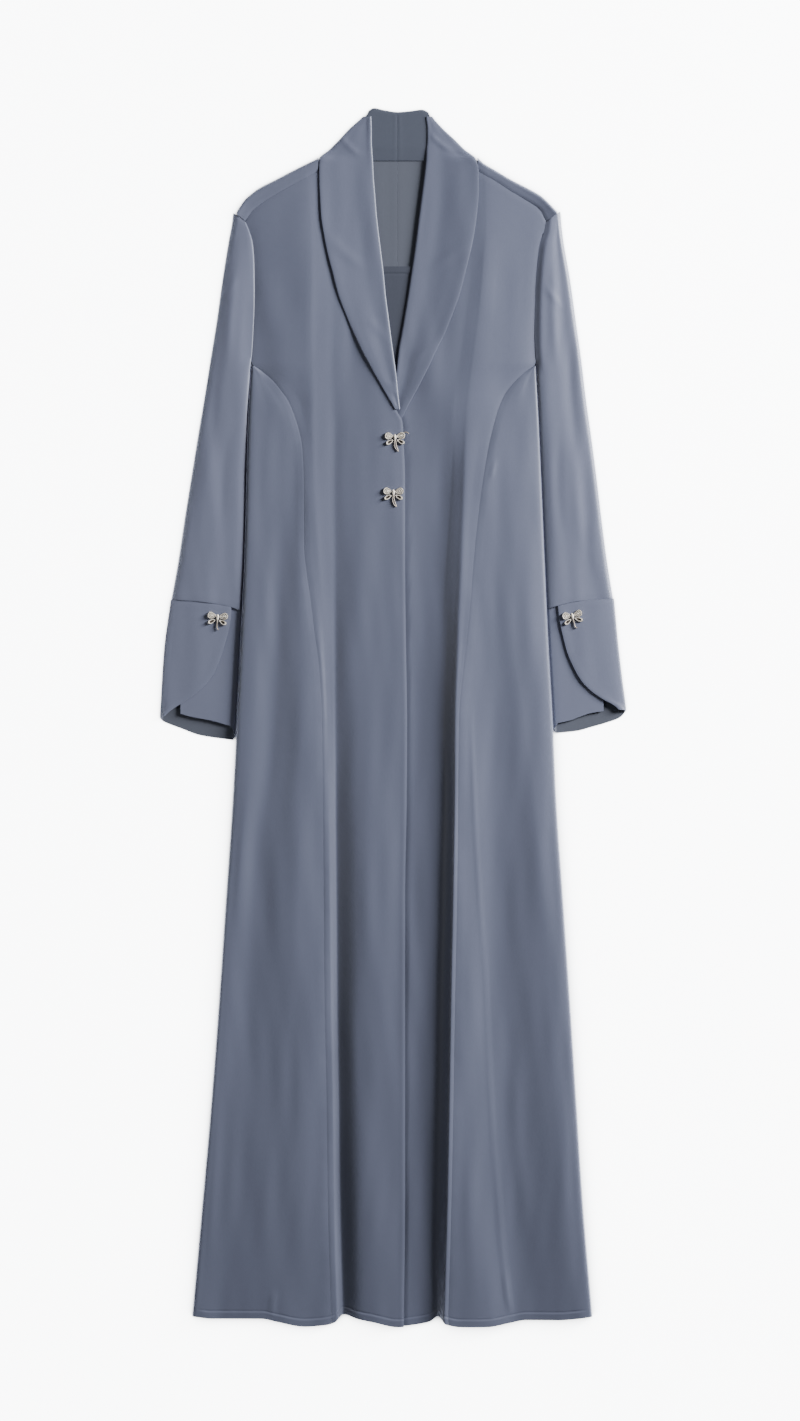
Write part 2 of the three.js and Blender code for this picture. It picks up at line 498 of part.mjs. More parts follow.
// Half of the robe: its curves, and the places of its stations in plan.
function halfOf(half) {
  const out = OUTWARD[half];
  const shoulderSeam = smooth(SHOULDER[half], 'x', 'seam');
  const shoulderFold = smooth(SHOULDER[half], 'x', 'fold');
  const wave = smooth(HEM_WAVE, 'x', 'drop');
  const side = smooth(SIDE[half], 'y', 'x');
  const princess = smooth(PRINCESS[half], 'y', 'x');
  const tip = SHOULDER[half][SHOULDER[half].length - 1];
  return {
    half,
    out,
    side,
    princess,
    shoulderSeam,
    shoulderFold,
    tip,
    backArmhole: smooth([
      { y: tip.fold - BACK_TURN, x: tip.x }, { y: 612, x: tip.x - out * 12 },
      ...SIDE[half].filter((row) => row.y < 595),
    ], 'y', 'x'),
    panelEdge: (y) => (y > UNDERARM_Y ? side(y) : princess(y)),
    crest: smooth(FRONT[half], 'y', 'crest'),
    tuck: smooth(FRONT[half], 'y', 'tuck'),
    trough: smooth(FRONT[half], 'y', 'trough'),
    swell: smooth(FRONT[half], 'y', 'swell'),
    edge: smooth(FRONT[half], 'y', 'edge'),
    edgeUp: smooth(HEIGHT[half], 'y', 'edge'),
    frontY: (station, x) => station + (shoulderSeam(x) - TOP_STATION) * shoulderShare(station)
      - wave(x) * hemShare(station),
  };
}

const HALVES = { right: halfOf('right'), left: halfOf('left') };
// Height of a named fold above the surface that the robe lies on.
const heightOf = (table, name, station) => FRONT_Z + smooth(table, 'y', name)(station);

// Where a curve x(y) crosses a station, whose y depends on x.
function crossing(curve, plan, station) {
  let x = curve(station);
  for (let turn = 0; turn < 16; turn += 1) x = curve(plan(station, x));
  return x;
}

// Section of a centre front from its outer edge, over the big fold, to the free front edge.
function centreFrontSection(h, station) {
  const place = (curve) => crossing(curve, h.frontY, station);
  const outer = place(h.panelEdge) - (h.out * SEAM) / 2;
  const [crest, trough] = [place(h.crest), place(h.trough)];
  const tuck = h.tuck(station);
  const folded = clamp(tuck / 8, 0, 1);
  const up = (name) => heightOf(HEIGHT[h.half], name, station);
  const puff = outer - h.out * Math.min(12, 0.4 * Math.abs(crest - outer));
  const reach = Math.min(20, Math.abs(crest - trough));
  const inward = (open, tucked) => crest - h.out * lerp(open * reach, -tucked * tuck, folded);
  const down = (open, tucked) => lerp(up('crest'), up('trough'), lerp(open, tucked, folded));
  return section([
    [outer, up('seam')],
    [puff, up('puff')],
    [crest, up('crest')],
    [inward(0.2, 0.25), down(0.2, 0.35)],
    [inward(0.45, 0.95), down(0.45, 0.68)],
    [inward(0.75, 0.5), down(0.75, 1.0)],
    [trough, up('trough')],
    [place(h.swell), up('swell')],
    [place(h.edge), up('edge')],
  ], [2, 2, 2, 1, 2, 1, 2, 2]);
}

function centreFront(h) {
  return wall(STATIONS.map((station) => centreFrontSection(h, station).map(
    ([x, z]) => new THREE.Vector3(x, h.frontY(station, x), z))));
}

// Height of a centre front's mid-surface at a place in plan.
function frontHeight(h, x, y) {
  let low = HEM_Y;
  let high = TOP_STATION;
  for (let turn = 0; turn < 24; turn += 1) {
    const middle = (low + high) / 2;
    if (h.frontY(middle, x) < y) low = middle; else high = middle;
  }
  const line = centreFrontSection(h, low);
  let best = line[line.length - 1][1];
  let found = false;
  for (let i = 1; i < line.length; i += 1) {
    const [[xa, za], [xb, zb]] = [line[i - 1], line[i]];
    if ((xa - x) * (xb - x) > 0 || xa === xb) continue;
    const z = lerp(za, zb, (x - xa) / (xb - xa));
    best = found ? Math.max(best, z) : z;
    found = true;
  }
  return best;
}

// Section of a side front from the side seam on the surface to the princess seam.
function sideFrontSection(h, station) {
  const side = crossing(h.side, h.frontY, station) - h.out * HALF;
  const seam = crossing(h.princess, h.frontY, station) + (h.out * SEAM) / 2;
  const turn = Math.min(7, 0.2 * Math.abs(seam - side));
  // In the narrow point under the arm the folds lie at fixed shares of the width.
  const point = smoothstep(station, 415, 430);
  const place = (name, share) => {
    const x = crossing(smooth(SIDE_FRONT[h.half], 'y', name), h.frontY, station);
    return lerp(x, lerp(side, seam, share), point);
  };
  const up = (name) => heightOf(SIDE_HEIGHT[h.half], name, station);
  return section([
    [side, 0],
    [side, 0.5 * up('round')],
    [side - h.out * 0.3 * turn, 0.86 * up('round')],
    [side - h.out * turn, up('round')],
    [place('top', 0.4), up('top')],
    [place('valley', 0.6), up('valley')],
    [place('ridge', 0.85), up('ridge')],
    [seam, heightOf(HEIGHT[h.half], 'seam', station)],
  ], [1, 1, 1, 2, 2, 2, 2]);
}

function sideFront(h) {
  const stations = STATIONS.filter((station) => station < UNDERARM_Y - 2);
  return wall(stations.map((station) => sideFrontSection(h, station).map(
    ([x, z]) => new THREE.Vector3(x, h.frontY(station, x), z))));
}

// The back lies flat, turns over the top of the shoulder and comes forward to the shoulder seam.
const BACK_HEM_Y = -745;
const BACK_STATIONS = STATIONS.filter((station, i) => station > BACK_HEM_Y && (station > 400 || i % 2 === 0));
const TURN_STEPS = 4;

function backPanel(h) {
  const { half, out } = h;
  const { tip } = h;
  const neck = NECK_POINT_X[half] + out * 0.8;
  const setIn = (y) => lerp(CLOTH + 2.5 * SEAM, 2 * SEAM, smoothstep(y, 425, UNDERARM_Y));
  const backEdge = (y) => h.backArmhole(y) - out * setIn(y);
  const top = (x) => (out * x < out * neck - 0.01 ? NECK_SEAM_Y : h.shoulderFold(x) - BACK_TURN);
  const plan = (station, x) => station + (top(x) - TOP_STATION) * shoulderShare(station);
  // Its columns meet those of the front at the shoulder seam.
  const seamLine = centreFrontSection(h, TOP_STATION).filter(([x]) => out * x > out * neck + 4).reverse();
  const seamEnd = seamLine[seamLine.length - 1][0];
  const neckShare = (neck - CENTRE_BACK_X) / (tip.x - CENTRE_BACK_X);
  const onShoulder = seamLine.map(([x]) => lerp(neckShare, 1, (x - neck) / (seamEnd - neck)));
  const shares = [0, 0.5 * neckShare, neckShare, ...onShoulder];
  const neckColumn = 2;
  const centre = CENTRE_BACK_X + (out * SEAM) / 2;
  const grid = [BACK_HEM_Y, ...BACK_STATIONS.slice().reverse()].map((station) => {
    const edge = crossing(backEdge, plan, station);
    return shares.map((share) => {
      const x = lerp(centre, edge, share);
      return new THREE.Vector3(x, plan(station, x), FLOOR_Z);
    });
  });
  const last = grid[grid.length - 1];
  const flatRows = grid.length;
  for (let step = 1; step <= TURN_STEPS; step += 1) {
    const angle = (Math.PI * step) / TURN_STEPS;
    grid.push(last.map((p) => new THREE.Vector3(
      p.x, p.y + BACK_TURN * Math.sin(angle), FLOOR_Z + BACK_TURN * (1 - Math.cos(angle)))));
  }
  const seamRow = last.map((p, column) => {
    const x = column > neckColumn ? seamLine[column - neckColumn - 1][0] : neck;
    const y = h.shoulderSeam(x);
    return new THREE.Vector3(x, y + 1.4 * SEAM, frontHeight(h, x, y));
  });
  const turned = grid[grid.length - 1];
  grid.push(turned.map((p, c) => p.clone().lerp(seamRow[c], 0.5)), seamRow);
  return wall(grid, (row, column) => row < flatRows - 1 || column >= neckColumn);
}

// ---------------------------------------------------------------------------------------------
// Sleeves and cuffs
// ---------------------------------------------------------------------------------------------

const SLEEVE_STATIONS = [
  618, 602, 584, 564, 540, 512, 484, 462, 448, 436, 420, 396, 346, 296, 246, 205, 175, 156, 147,
];
const CAP_SLOPE = 0.75; // the cap's top row follows the armhole up to the shoulder tip
// Heights across a sleeve: near its outer edge, in its middle and beside the armhole.
const SLEEVE_Z = {
  right: { outer: 5.3, middle: 5.6, inner: 5.4 },
  left: { outer: 6.4, middle: 6.6, inner: 5.2 },
};
const BODY_GAP = 0.8; // between a sleeve and the side of the body below the underarm

function sleevePanel(h) {
  const { half, out } = h;
  const high = SLEEVE_Z[half];
  const outerCurve = smooth(SLEEVE[half], 'y', 'outer');
  const cuffSeam = smooth(CUFF_SEAM[half], 'x', 'y');
  const start = h.side(TOP_STATION);
  const bottom = SLEEVE_STATIONS[SLEEVE_STATIONS.length - 1];
  const plan = (station, x) => station
    + CAP_SLOPE * Math.max(0, out * (x - start)) * smoothstep(station, 575, SLEEVE_STATIONS[0])
    + (cuffSeam(x) + 2 * SEAM - bottom) * (1 - smoothstep(station, bottom, 205));
  return wall(SLEEVE_STATIONS.map((station) => {
    const cap = smoothstep(station, 424, 450);
    const inner = crossing(h.side, plan, station) + out * lerp(BODY_GAP + HALF, 2 * SEAM, cap);
    const backArmhole = crossing(h.backArmhole, plan, station) + out * SEAM;
    const backInner = lerp(inner + out * (HALF + SEAM), backArmhole, cap);
    const outer = crossing(outerCurve, plan, station) - out * HALF;
    const width = Math.abs(outer - inner);
    const turn = Math.min(6, 0.25 * width);
    const fold = inner + out * Math.min(8, 0.35 * width);
    const innerZ = lerp(0, FRONT_Z + 0.6, cap);
    const full = smoothstep(width, 10, 45);
    const topZ = lerp(FRONT_Z + 1.6, high.outer, full);
    return section([
      [backInner, FLOOR_Z],
      [lerp(backInner, outer, 0.5), FLOOR_Z],
      [lerp(outer - out * turn, outer, 0.15), FLOOR_Z],
      [outer, 2.6],
      [outer - out * turn, lerp(0.93 * topZ, 4.9, full)],
      [lerp(outer, fold, 0.35), topZ],
      [lerp(outer, fold, 0.68), lerp(topZ, high.middle, full)],
      [fold, lerp(topZ, high.inner, full)],
      [inner + out * lerp(0, 2.4, cap), lerp(0.6 * high.inner, lerp(innerZ, topZ, 0.4), cap)],
      [inner, innerZ],
    ], [1, 1, 2, 2, 2, 2, 2, 2, 1]).map(([x, z]) => new THREE.Vector3(x, plan(station, x), z));
  }));
}

const CUFF_ROWS = 9;
const UNDER_FLAP_Z = 3.8;
const FLAP_Z = UNDER_FLAP_Z + CLOTH + 2 * LIFT + 0.6;

function cuffPanel(h) {
  const { half, out } = h;
  const cuff = CUFF[half];
  const curve = {
    outer: smooth(cuff.outer, 'y', 'x'),
    inner: smooth(cuff.inner, 'y', 'x'),
    flap: smooth(cuff.flap, 'y', 'x'),
    underHem: smooth(cuff.underHem, 'x', 'y'),
    backHem: smooth(cuff.backHem, 'x', 'y'),
    seam: smooth(CUFF_SEAM[half], 'x', 'y'),
  };
  const rows = [];
  for (let row = 0; row <= CUFF_ROWS; row += 1) {
    const share = row / CUFF_ROWS;
    // Each layer runs from the cuff seam to a hem of its own, given at its place across.
    const place = (line, hem) => {
      let x = line(lerp(140, -10, share));
      for (let turn = 0; turn < 12; turn += 1) x = line(lerp(curve.seam(x), hem(x), share));
      return x;
    };
    const tipHem = () => cuff.flapTip;
    const beside = (y) => out * Math.max(out * curve.inner(y), out * h.side(y) + BODY_GAP);
    const inner = place(beside, curve.backHem) + out * HALF;
    const outer = place(curve.outer, tipHem) - out * HALF;
    const flap = place(curve.flap, tipHem);
    const free = out * flap < out * outer - 3.5 ? flap : outer - out * 3.5;
    const under = cuff.underEnd;
    const width = Math.abs(outer - free);
    const turn = Math.min(5, 0.3 * width);
    const layer = (points, hem) => points.map(([x, z]) => [x, z, hem]);
    const control = [
      ...layer([
        [under, UNDER_FLAP_Z],
        [lerp(under, inner, 0.5), UNDER_FLAP_Z],
        [inner + out * 5, UNDER_FLAP_Z - 0.4],
      ], curve.underHem),
      ...layer([[inner, 2.6]], (x) => lerp(curve.underHem(x), curve.backHem(x), 0.6)),
      ...layer([
        [inner + out * 3, FLOOR_Z],
        [lerp(inner, outer, 0.5), FLOOR_Z],
        [outer - out * 3, FLOOR_Z],
      ], curve.backHem),
      ...layer([[outer, 3.6]], (x) => lerp(curve.backHem(x), cuff.flapTip, 0.5)),
      ...layer([
        [outer - out * turn, FLAP_Z - 0.2],
        [lerp(outer, free, 0.6), FLAP_Z],
        [free, FLAP_Z - 0.4],
      ], tipHem),
    ];
    const steps = [2, 2, 2, 2, 1, 1, 2, 2, 2, 3];
    const line = section(control.map(([x, z]) => [x, z]), steps);
    const hems = [control[0][2](line[0][0])];
    let point = 0;
    steps.forEach((count, i) => {
      for (let k = 1; k <= count; k += 1) {
        point += 1;
        const x = line[point][0];
        hems.push(lerp(control[i][2](x), control[i + 1][2](x), k / count));
      }
    });
    rows.push(line.map(([x, z], i) => new THREE.Vector3(x, lerp(curve.seam(x), hems[i], share), z)));
  }
  return wall(rows);
}

// ---------------------------------------------------------------------------------------------
// Shawl collar and neck inset
// ---------------------------------------------------------------------------------------------

const COLLAR_WRAP_Y = 697; // above it the fall goes round to the back
const COLLAR_END_Y = 750;

// Front of a collar half: from the front's edge to the roll line, and back out as the fall.
function collarFront(h) {
  const { half, out } = h;
  const table = COLLAR[half];
  const outer = smooth(table, 'y', 'outer');
  const roll = smooth(table, 'y', 'roll');
  const tip = table[0].y;
  const stations = [tip];
  const step = (COLLAR_WRAP_Y - tip) / 15;
  for (let i = 1; i <= 15; i += 1) stations.push(tip + i * step);
  stations.push(COLLAR_WRAP_Y + 6, 714, 727, 739, COLLAR_END_Y);
  const grid = stations.map((y) => {
    const rollX = roll(y) + out * HALF;
    const outerX = outer(y) - out * HALF;
    const sewn = out * h.edge(y) - 3 * SEAM;
    const under = y > 640 ? out * Math.min(sewn, out * lerp(rollX, outerX, 0.45)) : out * sewn;
    const low = FRONT_Z + h.edgeUp(y);
    const high = low + 2 * ROLL_RADIUS;
    const turn = Math.min(ROLL_RADIUS, 0.4 * Math.abs(under - rollX) + 0.4);
    const lie = (share) => {
      const x = lerp(rollX, outerX, share);
      const onFront = y < COLLAR_WRAP_Y + 1 && out * x > out * h.edge(y);
      const near = [-7, 0, 7].map((step) => frontHeight(h, x + step, Math.min(y, h.shoulderSeam(x))));
      const carried = onFront ? Math.max(...near) + CLOTH + 2 * LIFT : low;
      return [x, Math.max(carried, share < 0.6 ? high : lerp(high, carried, (share - 0.6) / 0.4))];
    };
    const wrapped = y > COLLAR_WRAP_Y - 1;
    const edgePoint = lie(1);
    return section([
      [under, low],
      [rollX + out * turn, low],
      [rollX, low + ROLL_RADIUS],
      [rollX + out * turn, high],
      lie(0.35),
      lie(0.7),
      edgePoint,
      wrapped ? [outerX, 0.5 * edgePoint[1]] : [outerX - out * 0.2, edgePoint[1] - 0.2],
      wrapped ? [outerX - out * 1.5, FLOOR_Z] : [outerX - out * 0.4, edgePoint[1] - 0.4],
    ], [1, 1, 1, 2, 2, 2, 1, 1]).map(([x, z]) => new THREE.Vector3(x, y, z));
  });
  const fallColumns = 9;
  return wall(grid, (row, column) => column < fallColumns || stations[row] > COLLAR_WRAP_Y - 1);
}

// Back of a collar half: the stand that shows inside the neck, the roll at the top and the fall.
const COLLAR_TOP = [
  { x: -33, y: 755 }, { x: -24, y: 761 }, { x: -12, y: 758.5 }, { x: 6, y: 756 },
  { x: 24, y: 757.5 }, { x: 36, y: 759 }, { x: 47, y: 754 },
];

function collarBack(h) {
  const { half, out } = h;
  const top = smooth(COLLAR_TOP, 'x', 'y');
  const outer = smooth(COLLAR[half], 'y', 'outer');
  const low = NECK_SEAM_Y + 2 * SEAM;
  const path = [
    { rise: 0, z: INSET_Z }, { rise: 0.25, z: FRONT_Z }, { rise: 0.6, z: FRONT_Z },
    { rise: 0.97, z: FRONT_Z },
    { rise: 1, z: FLOOR_Z + ROLL_RADIUS }, { rise: 0.97, z: FLOOR_Z }, { rise: 0.6, z: FLOOR_Z },
    { rise: 0, z: FLOOR_Z },
  ];
  const shares = [0, 0.25, 0.5, 0.75, 1];
  const centre = CENTRE_BACK_X + (out * SEAM) / 2;
  return wall(path.map(({ rise, z }) => {
    const edge = outer(lerp(low, COLLAR_TOP_Y, rise)) - out * 1.2;
    return shares.map((share) => {
      const x = lerp(centre, edge, share);
      return new THREE.Vector3(x, lerp(low, top(x) - HALF, rise), z);
    });
  }));
}

function neckInset() {
  const width = INSET.left - INSET.right;
  const length = INSET.top - INSET.bottom;
  const plate = new THREE.BoxGeometry(width, length, CLOTH);
  return plate.translate((INSET.left + INSET.right) / 2, (INSET.top + INSET.bottom) / 2, INSET_Z);
}

// ---------------------------------------------------------------------------------------------
// Dragonfly ornaments: four looped wings, a knotted body and a curled tail
// ---------------------------------------------------------------------------------------------

const ORNAMENT = { half: 1.3, knot: { across: 1.9, along: 4.5 }, tail: 1.2, hook: 0.9 };
const WINGS = [
  { x: 7.2, y: 1.4, across: 5.8, along: 4.3, turn: 10 },
  { x: 6.6, y: -5.0, across: 5.8, along: 2.6, turn: -28 },
];
const TAILS = {
  front: [[0, -2], [0.8, -9], [2.4, -14.5], [3.8, -17.6]],
  cuff: [[0, -2], [0, -8], [0.2, -12.8], [1.4, -15], [3.2, -14.6]],
};
const HOOK = [[7.5, 3.2], [11, 6], [14.4, 6.4], [17, 4.2]];

function bead(x, y, across, along, turn = 0) {
  const ball = new THREE.SphereGeometry(1, 8, 4);
  ball.rotateX(Math.PI / 2);
  ball.scale(across, along, ORNAMENT.half);
  ball.rotateZ(THREE.MathUtils.degToRad(turn));
  return ball.translate(x, y, ORNAMENT.half);
}

function wire(points, radius, steps) {
  const path = new THREE.CatmullRomCurve3(points.map(([x, y]) => new THREE.Vector3(x, y, ORNAMENT.half)));
  const ring = new THREE.Shape();
  ring.absarc(0, 0, radius, 0, 2 * Math.PI, false);
  return new THREE.ExtrudeGeometry(ring, { extrudePath: path, steps, curveSegments: 2 });
}

function dragonfly({ x, y, z, tail, tilt = 0, hook = false }) {
  const pieces = [bead(0, 0, ORNAMENT.knot.across, ORNAMENT.knot.along)];
  for (const wing of WINGS) {
    for (const side of [-1, 1]) {
      pieces.push(bead(side * wing.x, wing.y, wing.across, wing.along, side * wing.turn));
    }
  }
  pieces.push(wire(TAILS[tail], ORNAMENT.tail, 7));
  if (hook) pieces.push(wire(HOOK, ORNAMENT.hook, 7));
  const body = joined(pieces);
  body.rotateZ(THREE.MathUtils.degToRad(tilt));
  return body.translate(x, y, z);
}

// Height at which an ornament lies on a front: just clear of the highest cloth under it.
function seatOnFront(h, x, y) {
  let top = 0;
  for (const dx of [-12, -6, 0, 6, 11]) {
    for (const dy of [-12, -6, 0, 5]) top = Math.max(top, frontHeight(h, x + dx, y + dy));
  }
  return top + HALF + LIFT;
}

// ---------------------------------------------------------------------------------------------
// The robe
// ---------------------------------------------------------------------------------------------

for (const h of Object.values(HALVES)) {
  add(`back_${h.half}`, backPanel(h));
  add(`centre_front_${h.half}`, centreFront(h));
  add(`side_front_${h.half}`, sideFront(h));
  add(`sleeve_${h.half}`, sleevePanel(h));
  add(`cuff_${h.half}`, cuffPanel(h));
  add(`collar_${h.half}`, joined([collarFront(h), collarBack(h)]));
}
add('neck_inset', neckInset());

const ORNAMENTS = [
  {
    name: 'dragonfly_front_upper', x: 2.5, y: 348.5, z: seatOnFront(HALVES.right, 2.5, 348.5),
    tail: 'front', tilt: 2, hook: true,
  },
  {
    name: 'dragonfly_front_lower', x: 0.5, y: 279.5, z: seatOnFront(HALVES.right, 0.5, 279.5),
    tail: 'front',
  },
  { name: 'dragonfly_cuff_right', x: -219, y: 124, z: FLAP_Z + HALF + LIFT, tail: 'cuff', tilt: -5 },
  { name: 'dragonfly_cuff_left', x: 224, y: 125.5, z: FLAP_Z + HALF + LIFT, tail: 'cuff', tilt: 12 },
];
for (const { name, ...place } of ORNAMENTS) add(name, dragonfly(place), METAL_COLOUR, 0.35, 0.9);

export default robe;
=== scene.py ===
"""Visual model of the abaya: satin sheets on the form of their solids, cast ornaments and a soft studio."""

import math

import bpy
import numpy as np
from bpy.props import FloatProperty, FloatVectorProperty, PointerProperty
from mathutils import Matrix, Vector


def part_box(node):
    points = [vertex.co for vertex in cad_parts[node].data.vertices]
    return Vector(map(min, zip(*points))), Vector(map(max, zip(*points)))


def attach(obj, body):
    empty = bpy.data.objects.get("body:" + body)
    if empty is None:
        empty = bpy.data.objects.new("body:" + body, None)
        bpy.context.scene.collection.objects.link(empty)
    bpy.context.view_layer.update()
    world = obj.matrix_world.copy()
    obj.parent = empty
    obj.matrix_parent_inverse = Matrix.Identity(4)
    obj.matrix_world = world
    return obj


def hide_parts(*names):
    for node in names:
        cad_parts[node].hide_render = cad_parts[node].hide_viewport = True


bl_info = {
    "name": "Abaya builder",
    "version": (1, 0, 0),
    "blender": (4, 5, 0),
    "location": "3D View > Sidebar > Abaya",
    "description": "Builds the cloth pieces and ornaments of an abaya that is laid flat, and its studio",
    "category": "Object",
}

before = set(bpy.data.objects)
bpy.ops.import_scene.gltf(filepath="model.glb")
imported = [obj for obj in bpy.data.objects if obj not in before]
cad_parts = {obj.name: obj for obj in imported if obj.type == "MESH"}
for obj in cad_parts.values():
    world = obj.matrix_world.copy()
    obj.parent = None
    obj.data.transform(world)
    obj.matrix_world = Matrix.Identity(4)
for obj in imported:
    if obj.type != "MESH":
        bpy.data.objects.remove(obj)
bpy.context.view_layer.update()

# ---------------------------------------------------------------------------------------------
# Driving dimensions, in millimetres
# ---------------------------------------------------------------------------------------------

MM = 0.001
CLOTH = 1.0
SEAM = 0.02  # the solids have 0.3 mm here, sewn cloth meets
LIFT = 0.3
HALF = CLOTH / 2
# layer of the collar's stand, which takes a darker copy of the satin: painted shade
STAND_SHADE_LAYER = 3

HEM_Y = -748.0
CENTRE_BACK_X = 5.5
NECK_SEAM_Y = 695.0
COLLAR_TOP_Y = 757.0
NECK_POINT_X = {"right": -92.5, "left": 105.0}
BACK_TURN = 3.2
ROLL_RADIUS = 1.3
FALL_RADIUS = 0.55  # the front roll, pressed flatter than the stand's
RIM = 0.08  # how far an edge is pulled in, so that it is round
SMOOTH_BELOW = math.radians(38)  # a cloth edge that is sharper than this stays sharp
INSET = {"right": -42.0, "left": 62.0, "top": 563.0, "bottom": 392.0}

FLOOR_Z = HALF
INSET_Z = FLOOR_Z + CLOTH + LIFT
FRONT_Z = INSET_Z + CLOTH + LIFT

HALVES = ("right", "left")
OUTWARD = {"right": -1.0, "left": 1.0}


# ---------------------------------------------------------------------------------------------
# Tables: one row for each station or fold, with named columns
# ---------------------------------------------------------------------------------------------

def table(columns, *rows):
    """Named columns of a table, ordered by the first one."""
    data = np.array(sorted(rows), float).T
    return dict(zip(columns.split(), data))


SIDE = {
    "right": table(
        "y x", (619, -184), (607, -179), (592, -175), (566, -173), (526, -172.5), (479, -174),
        (440, -176.5), (371, -180.5), (196, -185), (96, -190), (-4, -195), (-104, -200.5),
        (-229, -209), (-354, -217.5), (-479, -227), (-604, -238), (-748, -251)),
    "left": table(
        "y x", (619, 191), (607, 189), (592, 183.5), (566, 180), (526, 177.5), (479, 177),
        (440, 178.5), (371, 182), (196, 189.5), (96, 194), (-4, 199.5), (-104, 204),
        (-229, 212.5), (-354, 221), (-479, 229), (-604, 237), (-748, 249)),
}

SHOULDER = {
    "right": table(
        "x fold seam", (-56, 696.5, 692), (-92.5, 696.5, 682), (-109, 690, 673), (-121, 684, 666.5),
        (-146, 671, 652.5), (-169, 659, 637.5), (-178, 652, 629), (-184, 647, 619), (-195, 631, 604)),
    "left": table(
        "x fold seam", (70, 696.5, 692), (105, 696.5, 682), (114, 690.5, 677), (125, 684, 671),
        (147, 671, 656.5), (170, 659, 643), (184, 651, 633), (191, 645, 619), (204.5, 631, 604)),
}

UNDERARM_Y = 440.0
PRINCESS = {
    "right": table(
        "y x", (440, -176.5), (431, -163), (419, -149), (409, -141), (395, -131), (379, -124),
        (349, -115), (331, -112.5), (296, -111), (211, -110.5), (181, -107.5), (146, -102.5),
        (101, -97), (64, -92), (-4, -88), (-229, -86), (-354, -85), (-479, -82.5), (-604, -81),
        (-748, -77)),
    "left": table(
        "y x", (440, 178.5), (431, 165), (419, 152.5), (405, 141), (391, 134), (376, 129),
        (340, 120), (296, 112.5), (259, 107.5), (196, 101), (131, 96), (96, 92.5), (59, 88),
        (21, 84), (-4, 82.5), (-229, 80), (-354, 77.5), (-479, 75.5), (-604, 73), (-748, 69)),
}

FRONT = {
    "right": table(
        "y crest tuck trough swell edge",
        (692, -112, 0, -78, -66, -57), (619, -104, 0, -78, -65, -55), (566, -103, 0, -76, -58, -47),
        (500, -104, 0, -75, -50, -33), (440, -103, 0, -75, -44, -14), (409, -102, 0, -74, -44, 0),
        (384, -101, 0, -74, -46, 4), (368, -101, 0, -73, -48, 12), (349, -100, 0, -73, -50, 13),
        (296, -99, 0, -73, -51, 15), (211, -94, 0, -72.5, -50, 15), (101, -87, 0, -72, -47, 16),
        (-4, -82, 0, -71.5, -46, 17.5), (-104, -80.5, 0, -71, -46, 17), (-229, -79, 0, -70, -46, 15),
        (-354, -77.5, 0, -69, -46, 15), (-479, -75, 0, -67, -45, 15), (-604, -73.5, 0, -65.5, -44, 15),
        (-748, -70, 0, -62, -42, 13.5)),
    "left": table(
        "y crest tuck trough swell edge",
        (692, 116, 0, 92, 80, 71), (619, 118, 0, 96, 79, 69), (566, 114, 0, 97, 76, 58),
        (500, 108, 0, 90, 66, 44), (440, 100, 0, 82, 52, 24), (409, 96, 0, 77, 50, 15),
        (379, 93, 0, 74, 50, 3.5), (338, 90.5, 0, 73, 50, -9.5), (326, 90, 0, 73, 50, -14),
        (296, 89, 0, 72, 50, -14), (211, 86, 0, 66, 42, -13), (101, 81, 1, 58, 30, -12),
        (-4, 77.5, 2, 52, 26, -11), (-104, 77, 3, 50, 25, -12), (-229, 75, 3, 48, 23, -14),
        (-354, 72.5, 3, 46, 21, -14), (-479, 70.5, 3, 44, 19, -14), (-604, 68, 3, 42, 16, -14),
        (-748, 64, 3, 40, 15, -15)),
}

HEIGHT = {
    "right": table(
        "y seam puff crest trough swell edge",
        (690, 0.6, 1.3, 1.6, 0.8, 0.4, 0), (619, 0.6, 1.7, 2.6, 0.8, 0.4, 0),
        (540, 0.6, 2, 3.6, 1.2, 0.6, 0), (500, 0.7, 2, 4, 1.6, 1, 0.4),
        (440, 0.8, 1.7, 4.6, 2.2, 2.8, 4.6), (400, 2.4, 3, 4.9, 2.6, 3.8, 5.2),
        (371, 3.6, 4, 5.2, 2.8, 4.6, 5.8), (296, 5.6, 6, 6.4, 3.8, 6, 6.4),
        (246, 6.2, 6.6, 6.8, 4.2, 6.6, 6.6), (96, 7, 6.8, 5.6, 3.2, 6.4, 7),
        (-4, 6.6, 6.2, 5.2, 3, 7.4, 8.2), (-229, 5.8, 5.6, 5, 1.8, 9.8, 11),
        (-416, 5.4, 5.2, 4.6, 1.4, 10.4, 11.6), (-604, 6.2, 6.1, 5.4, 1.2, 10.6, 11.8),
        (-748, 4.6, 4.4, 4, 0.6, 8.6, 9.8)),
    "left": table(
        "y seam puff crest trough swell edge",
        (690, 0.6, 1, 1.6, 0.8, 0.6, 0), (619, 0.6, 1.3, 3.2, 1.6, 0.8, 0),
        (566, 0.6, 1.6, 3.8, 2.6, 1.4, 0), (500, 0.6, 1.7, 4.6, 3.2, 2, 0),
        (440, 0.8, 2.2, 5.6, 4, 2.4, 0), (379, 5.2, 6, 7.2, 5.8, 2.6, 0.2),
        (338, 6.4, 7, 8.2, 5.2, 2.6, 0.4), (296, 8, 8.3, 9.2, 4.5, 1.9, 0.8),
        (246, 8.3, 8.8, 9.8, 4.7, 1.7, 1), (96, 11.9, 12, 12.4, 3.1, 1.6, 1.2),
        (-4, 13.5, 13.72, 13.74, 2.98, 1.1, 1.2), (-229, 14.3, 14.7, 15, 1.8, 0.6, 1.2),
        (-416, 14.3, 14.7, 15, 1.6, 0.6, 1.2), (-604, 13.7, 14.1, 14.4, 1.6, 0.6, 1.2),
        (-748, 11.1, 11.5, 11.8, 1, 0.6, 1.2)),
}

